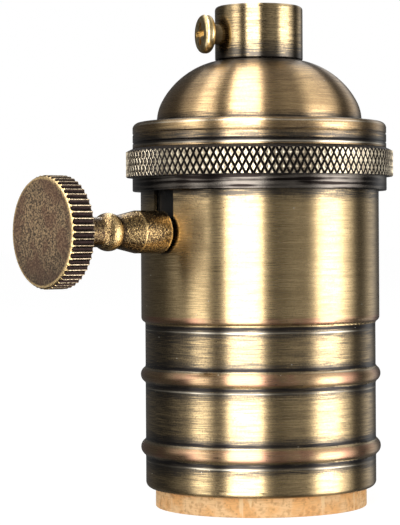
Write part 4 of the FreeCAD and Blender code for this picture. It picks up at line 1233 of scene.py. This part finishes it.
@dataclass
class Switch(Assembly):
    """The knob that shows, and the shaft and rotor behind it."""

    thickness: float = 3.7
    radius: float = 8.0
    bevel: float = 0.3
    bevel_depth: float = 0.45
    edge: float = 0.12
    face_ring: float = 7.1
    collar: float = 2.15
    collar_length: float = 1.0
    collar_fillet: float = 0.25
    bead_end: float = 29.0
    bead_start: float = 26.2
    bead_bulge: float = 2.2
    notch: float = 2.35
    taper_start: float = 22.8
    taper_round: float = 0.5
    stem: float = 3.1
    stem_round: float = 0.25
    bore: float = 2.05
    bore_round: float = 0.15
    bore_end: float = 24.05
    flutes: int = 52
    flute_columns: int = 10
    flute_depth: float = 0.34
    flute_share: float = 0.405
    flute_end: float = 0.55

    def __post_init__(self) -> None:
        """Read the knob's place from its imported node."""
        low, high = box_of("switch_knob")
        self.face = -low.x
        self.stem_end = -high.x
        self.height = (low.z + high.z) / 2
        self.back = self.face - self.thickness
        self.shoulder = self.face - self.bevel_depth

    def outline(self) -> list[Point]:
        """Give the knob's section from the face's middle round to the bore's blind end.

        Returns:
            Distances from the shaft's axis and places along it.
        """
        # rows lie close together where the flutes run out, over the bevel and just behind it
        bevel = [(self.radius - self.bevel * (1.0 - share), self.face - self.bevel_depth * share)
                 for share in (0.4, 0.55, 0.7, 0.85, 1.0)]
        rim = [(self.radius, self.shoulder - drop) for drop in (0.1, 0.2, 0.3)]
        front = [(0.0, self.face), (self.face_ring, self.face),
                 (self.radius - self.bevel, self.face, self.edge)]
        rear = [(self.radius, self.back + self.edge), (self.radius - self.edge, self.back),
                (self.collar, self.back, self.collar_fillet),
                (self.collar, self.back - self.collar_length)]
        disc = rounded(front + bevel + rim + rear, closed=False)
        bead = bulge((self.collar, self.bead_end), (self.notch, self.bead_start), self.bead_bulge)
        stem = rounded([(self.notch, self.bead_start),
                        (self.stem, self.taper_start, self.taper_round),
                        (self.stem, self.stem_end, self.stem_round),
                        (self.bore, self.stem_end, self.bore_round),
                        (self.bore, self.bore_end), (0.0, self.bore_end)], closed=False)
        return disc + bead + stem[1:]

    def flute(self, along: float, turn: float) -> float:
        """Give how deep the flutes are cut at a place on the rim.

        Args:
            along: How far out along the shaft the place is.
            turn: Its angle round the shaft.

        Returns:
            The depth under the rim.
        """
        share = (turn * self.flutes / FULL_TURN) % 1.0
        off = abs(share - 0.5) / self.flute_share
        run_out = (along - (self.face - self.edge / 2 - self.flute_end)) / self.flute_end
        reach = math.hypot(off, max(0.0, run_out))
        return self.flute_depth * math.sqrt(max(0.0, 1.0 - reach ** 2))

    def place(self, radius: float, along: float, turn: float) -> Vector:
        """Place a point of the knob, with its flutes, about the shaft's axis."""
        radius = min(radius, self.radius - self.flute(along, turn))
        return Vector((-along, radius * math.cos(turn), self.height + radius * math.sin(turn)))

    def build(self) -> list[Piece]:
        """Build the knob and dress the shaft, the rotor and its band.

        Returns:
            The knob and the pieces behind it.
        """
        columns = self.flutes * self.flute_columns
        mesh = revolve(self.outline(), columns, closed=False, place=self.place)
        knob = finished_mesh("fluted_knob", mesh, crease=28.0)
        dressed(knob, AgedBrass("knob", self))
        return [placed(knob, "knob", "switch_knob"),
                *carried({"switch_shaft": PLATED_STEEL, "retaining_ring": PLATED_STEEL,
                          "switch_rotor": MOULDING, "contact_band": STRIP_BRASS})]


@dataclass
class ScrewShell(Assembly):
    """The rolled shell that takes the lamp's thread, closed by a pierced end plate."""

    sheet: float = 0.4
    crest: float = 12.25
    mouth_flare: float = 1.15
    mouth_length: float = 2.6
    pitch: float = 3.63
    depth: float = 1.0
    fade: float = 1.8
    eye: float = 6.6
    screw_across: float = 8.5
    screw_hole: float = 1.3
    slot_half: float = 2.6
    slot_sides: Span = (9.95, 10.75)
    plate_gap: float = 0.3
    columns: int = 144
    eye_columns: int = 96
    hole_columns: int = 32
    row_height: float = 0.24

    def __post_init__(self) -> None:
        """Read the shell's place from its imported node."""
        low, high = box_of("screw_shell")
        self.mouth, self.top = low.z, high.z
        self.plate = self.top - self.sheet
        self.bend = self.mouth + self.mouth_length
        self.start = self.bend + self.mouth_flare

    def place(self, radius: float, along: float, turn: float) -> Vector:
        """Place a point of the shell, pressed out by the thread where there is one.

        Args:
            radius: The wall's distance from the axis between the threads.
            along: The point's height.
            turn: Its angle round the axis.

        Returns:
            The point.
        """
        lead_in = min(max((along - self.start) / self.fade, 0.0), 1.0)
        lead_out = min(max((self.plate - self.plate_gap - along) / self.fade, 0.0), 1.0)
        wave = 0.5 - 0.5 * math.cos(FULL_TURN * along / self.pitch - turn)
        return upright(radius + self.depth * wave * lead_in * lead_out, along, turn)

    def outline(self) -> list[Point]:
        """Give the wall's section from the end plate's underside round the mouth to its top.

        Returns:
            Distances from the holder's axis and heights.
        """
        rows = round((self.plate - self.start) / self.row_height)
        heights = [self.start + (self.plate - self.start) * row / rows for row in range(rows + 1)]
        flared = self.crest + self.mouth_flare
        inside = [(flared, self.mouth), (flared, self.bend)] + [(self.crest, z) for z in heights]
        outside = [(radius + self.sheet, height) for radius, height in inside]
        return inside[::-1] + outside + [(self.crest + self.sheet, self.top)]

    def holes(self) -> list[list[Point]]:
        """Give the outlines of the end plate's eye, its two screw holes and its slot.

        Returns:
            The outlines, as points of the plate.
        """
        circles = ((0.0, self.eye, self.eye_columns),
                   (self.screw_across, self.screw_hole, self.hole_columns),
                   (-self.screw_across, self.screw_hole, self.hole_columns))
        outlines = [[(across + radius * math.cos(FULL_TURN * step / count),
                      radius * math.sin(FULL_TURN * step / count)) for step in range(count)]
                    for across, radius, count in circles]
        near, far = self.slot_sides
        half = self.slot_half
        return outlines + [[(-half, near), (half, near), (half, far), (-half, far)]]

    def close(self, mesh: Mesh) -> None:
        """Close the wall's two upper rims by the end plate's faces, and pierce them.

        Args:
            mesh: The wall, open at the top.
        """
        rims = {height: lips(mesh, height) for height in (self.plate, self.top)}
        for outline in self.holes():
            low, high = ([mesh.verts.new((x, y, height)) for x, y in outline] for height in rims)
            for side in range(len(outline)):
                after = (side + 1) % len(outline)
                mesh.faces.new((low[side], low[after], high[after], high[side]))
                for edges, ring in zip(rims.values(), (low, high)):
                    edges.append(mesh.edges.get((ring[side], ring[after])))
        for edges in rims.values():
            bmesh.ops.triangle_fill(mesh, use_beauty=True, edges=edges, normal=(0.0, 0.0, 1.0))

    def build(self) -> list[Piece]:
        """Build the shell and dress it.

        Returns:
            The shell.
        """
        mesh = revolve(self.outline(), self.columns, closed=False, place=self.place)
        self.close(mesh)
        piece = finished_mesh("threaded_screw_shell", mesh, crease=32.0)
        return [placed(dressed(piece, STRIP_BRASS), "holder", "screw_shell")]


@dataclass
class LampSide(Assembly):
    """The board liner, the screw shell's screws and the contact for the lamp's middle."""

    liner_wall: float = 0.8
    liner_edge: float = 0.12
    liner_columns: int = 256

    def liner(self) -> Piece:
        """Build the liner, a tube of board with soft edges.

        Returns:
            The liner.
        """
        low, high = box_of("insulating_liner")
        outside, edge = high.x, self.liner_edge
        bore = outside - self.liner_wall
        outline = rounded([(bore, low.z, edge), (outside, low.z, edge), (outside, high.z, edge),
                           (bore, high.z, edge)])
        mesh = revolve(outline, self.liner_columns)
        piece = finished_mesh("board_liner", mesh, crease=40.0)
        return placed(dressed(piece, Board("board")), "holder", "insulating_liner")

    def build(self) -> list[Piece]:
        """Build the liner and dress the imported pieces.

        Returns:
            The liner, the screws, the contact and its rivet.
        """
        return [self.liner(), *carried({"shell_screws": PLATED_STEEL,
                                        "centre_contact": SPRING_BRONZE,
                                        "contact_rivet": STRIP_BRASS})]


@dataclass
class Core(Assembly):
    """The moulded core with its cover, screws, detent spring and terminals."""

    def build(self) -> list[Piece]:
        """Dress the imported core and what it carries.

        Returns:
            The core's pieces.
        """
        return carried({"core_base": MOULDING, "core_cover": MOULDING, "core_screws": PLATED_STEEL,
                        "detent_spring": SPRING_BRONZE, "line_terminal": STRIP_BRASS,
                        "neutral_terminal": STRIP_BRASS,
                        "terminal_screws": BrightBrass("terminal_screws"),
                        "load_contact": STRIP_BRASS})


# --------------------------------------------------------------------------------------------
# the studio


@dataclass(frozen=True)
class Lamp:
    """A soft box: its bearing beside the camera's, its height angle, its size and brightness."""

    name: str
    bearing: float
    elevation: float
    width: float
    height: float
    brightness: float
    distance: float = 700.0


@dataclass(frozen=True)
class Panel:
    """A bright panel of the surround, which bows overhead unless it ends at a height angle."""

    name: str
    bearing: float
    half: float
    soft: float
    brightness: float
    low: float = -60.0
    high: float | None = None
    fade: float = 10.0


@dataclass(frozen=True)
class Surround(Finish):
    """What polished metal reflects: a dim room with tall bright panels.

    A panel's bearing and height angle are twice those of the way halfway between the camera
    and the panel, so that a panel bows overhead and its edges fall upright on anything turned.
    """

    bearing: float
    panels: tuple[Panel, ...]
    dim: float = 0.1

    def shade(self, graph: Graph) -> Socket:
        """Draw the panels on the room's wall.

        Args:
            graph: The material's nodes.

        Returns:
            The shader's socket.
        """
        spot = Spot(graph)
        turn = math.radians(self.bearing)
        reach = (spot.x * spot.x + spot.y * spot.y + spot.z * spot.z) ** 0.5
        ahead = spot.x * math.cos(turn) + spot.y * math.sin(turn) + reach
        aside = spot.y * math.cos(turn) - spot.x * math.sin(turn)
        flat = (ahead * ahead + aside * aside) ** 0.5
        doubled = math.degrees(2.0)
        bearing = graph.math("ARCTAN2", aside, ahead) * doubled
        rise = graph.math("ARCTAN2", spot.z, flat) * doubled
        glow = self.dim
        for panel in self.panels:
            off = abs(bearing - panel.bearing)
            wide = off.ramp(panel.half + panel.soft, panel.half - panel.soft)
            tall = rise.ramp(panel.low - panel.fade, panel.low + panel.fade)
            if panel.high is not None:
                tall = tall * rise.ramp(panel.high + panel.fade, panel.high - panel.fade)
            glow = glow + wide * tall * panel.brightness
        return graph.node("ShaderNodeEmission", None, {"Color": glow}).outputs[0]


def shown(graph: Graph) -> Field:
    """Give 1 to the rays that show the background: the camera's, and those through gloss.

    Args:
        graph: The nodes of a material or of the world.

    Returns:
        The mask.
    """
    rays = graph.node("ShaderNodeLightPath").outputs
    names = ("Is Camera Ray", "Is Glossy Ray", "Is Transmission Ray")
    return graph.most([Field(graph, rays[name]) for name in names])


@dataclass(frozen=True)
class PaleFloor(Finish):
    """Matt paint that glows nearly white as a background and still takes the holder's shadow."""

    paint: Colour = (0.9, 0.9, 0.9)
    roughness: float = 0.9
    glow: float = 1.28
    glow_share: float = 0.7

    def shade(self, graph: Graph) -> Socket:
        """Mix the paint with its glow.

        Args:
            graph: The material's nodes.

        Returns:
            The shader's socket.
        """
        inputs = {"Base Color": (*self.paint, 1.0), "Roughness": self.roughness,
                  "Specular IOR Level": 0.0}
        paint = graph.node("ShaderNodeBsdfPrincipled", None, inputs)
        glow = graph.node("ShaderNodeEmission", None, {"Strength": self.glow})
        inputs = {0: shown(graph) * self.glow_share, 1: paint.outputs[0], 2: glow.outputs[0]}
        return graph.node("ShaderNodeMixShader", None, inputs).outputs[0]


@dataclass
class Studio:
    """The camera, the lamps, the panels that shape the reflections, and a pale floor."""

    bearing: float = -128.0
    distance: float = 317.0
    eye_height: float = 40.5
    lens: float = 144.36
    shift: Span = (-0.1141, -0.0522)
    roll: float = -0.32
    room_level: float = 0.35
    floor_reach: float = 4000.0
    lamps: tuple[Lamp, ...] = (
        Lamp("key", -15.0, 25.0, 400.0, 600.0, 3.4),
        Lamp("side", 70.0, 20.0, 300.0, 600.0, 2.0),
    )
    wall_distance: float = 1500.0
    wall_tilt: float = 89.0
    wall_columns: int = 72
    wall_rows: int = 16
    panels: tuple[Panel, ...] = (
        Panel("key", -15.0, 16.5, 4.0, 7.0),
        Panel("key_side", 36.0, 14.0, 18.0, 0.36),
        Panel("left", -60.5, 9.0, 7.0, 3.0),
        Panel("left_high", -71.0, 6.0, 6.0, 1.2, low=14.0, high=50.0),
        Panel("left_glow", -80.0, 14.0, 12.0, 0.8, low=0.0),
        Panel("right", 75.0, 21.0, 11.0, 1.4),
        Panel("right_low", 75.0, 20.0, 10.0, 1.1, high=25.0, fade=15.0),
        Panel("right_core", 70.0, 13.0, 6.0, 4.0, high=20.0, fade=12.0),
        Panel("rear", 134.0, 10.0, 12.0, 0.75),
    )

    def way(self, bearing: float, elevation: float) -> Vector:
        """Give a direction from a bearing beside the camera's and a height angle.

        Args:
            bearing: The bearing beside the camera's, in degrees.
            elevation: The height angle, in degrees.

        Returns:
            The direction.
        """
        turn, rise = math.radians(self.bearing + bearing), math.radians(elevation)
        return Vector((math.cos(turn) * math.cos(rise), math.sin(turn) * math.cos(rise),
                       math.sin(rise)))

    def camera(self) -> None:
        """Set the camera level with the shell's upper part."""
        data = bpy.data.cameras.new("camera")
        data.lens = self.lens
        data.shift_x, data.shift_y = self.shift
        data.clip_start = 0.01
        data.clip_end = 50.0
        camera = bpy.data.objects.new("camera", data)
        eye = self.way(0.0, 0.0) * self.distance + Vector((0, 0, self.eye_height))
        camera.location = eye * MM
        aim = (-self.way(0.0, 0.0)).to_track_quat("-Z", "Y")
        lean = Quaternion((0.0, 0.0, 1.0), math.radians(self.roll))
        camera.rotation_euler = (aim @ lean).to_euler()
        bpy.context.scene.collection.objects.link(camera)
        bpy.context.scene.camera = camera

    def light(self, lamp: Lamp) -> None:
        """Hang a lamp that faces the holder.

        Args:
            lamp: The lamp's place, size and brightness.
        """
        data = bpy.data.lights.new(lamp.name, "AREA")
        data.shape = "RECTANGLE"
        data.size, data.size_y = lamp.width * MM, lamp.height * MM
        data.energy = lamp.brightness * math.pi * data.size * data.size_y
        light = bpy.data.objects.new(lamp.name, data)
        way = self.way(lamp.bearing, lamp.elevation)
        light.location = (way * lamp.distance + Vector((0, 0, self.eye_height))) * MM
        light.rotation_euler = (-way).to_track_quat("-Z", "Y").to_euler()
        light.visible_glossy = False
        bpy.context.scene.collection.objects.link(light)

    def surround(self) -> None:
        """Stand a dim wall with bright panels round the holder, for reflections only."""
        columns, rows = self.wall_columns, self.wall_rows
        bearings = [360.0 * column / columns for column in range(columns + 1)]
        tilts = [self.wall_tilt * (2 * row / rows - 1) for row in range(rows + 1)]
        mesh = bmesh.new()
        grid = [[mesh.verts.new(self.wall_distance * self.way(bearing, tilt))
                 for bearing in bearings] for tilt in tilts]
        for low, high in zip(grid, grid[1:]):
            for column in range(columns):
                mesh.faces.new((low[column], low[column + 1], high[column + 1], high[column]))
        wall = finished_mesh("surround", mesh, crease=180.0)
        dressed(wall, Surround("surround", self.bearing, self.panels))
        wall.visible_camera = False
        wall.visible_diffuse = False
        wall.visible_shadow = False
        wall.visible_transmission = False

    def floor(self) -> None:
        """Lay a pale floor that keeps the holder's shadow."""
        mesh = bmesh.new()
        reach = self.floor_reach
        corners = [(-reach, -reach), (reach, -reach), (reach, reach), (-reach, reach)]
        mesh.faces.new([mesh.verts.new((x, y, 0.0)) for x, y in corners])
        floor = dressed(finished_mesh("floor", mesh, crease=60.0), PaleFloor("floor"))
        floor.visible_glossy = False

    def room(self) -> None:
        """Light the room evenly, and show it white behind the holder."""
        world = bpy.data.worlds.new("room")
        world.use_nodes = True
        bpy.context.scene.world = world
        graph = Graph(world.node_tree)
        light, white = (graph.node("ShaderNodeBackground", None,
                                   {"Color": (1.0, 1.0, 1.0, 1.0), "Strength": strength})
                        for strength in (self.room_level, 1.0))
        both = graph.node("ShaderNodeMixShader", None,
                          {0: shown(graph), 1: light.outputs[0], 2: white.outputs[0]})
        graph.node("ShaderNodeOutputWorld", None, {"Surface": both.outputs[0]})

    def build(self) -> None:
        """Set up the camera, the lights, the surround, the floor and the room."""
        self.camera()
        for lamp in self.lamps:
            self.light(lamp)
        self.surround()
        self.floor()
        self.room()
        bpy.context.scene.view_settings.view_transform = "Standard"


def main() -> None:
    """Build the studio and each part of the holder."""
    logging.basicConfig(level=logging.INFO, format="%(name)s: %(message)s")
    Studio().build()
    for assembly in (Housing(), LockRing(), Switch(), ScrewShell(), LampSide(), Core()):
        for piece in assembly.build():
            log.info("%s: %s, %d faces", type(assembly).__name__, piece.name,
                     len(piece.data.polygons))


if __name__ == "__main__":
    main()
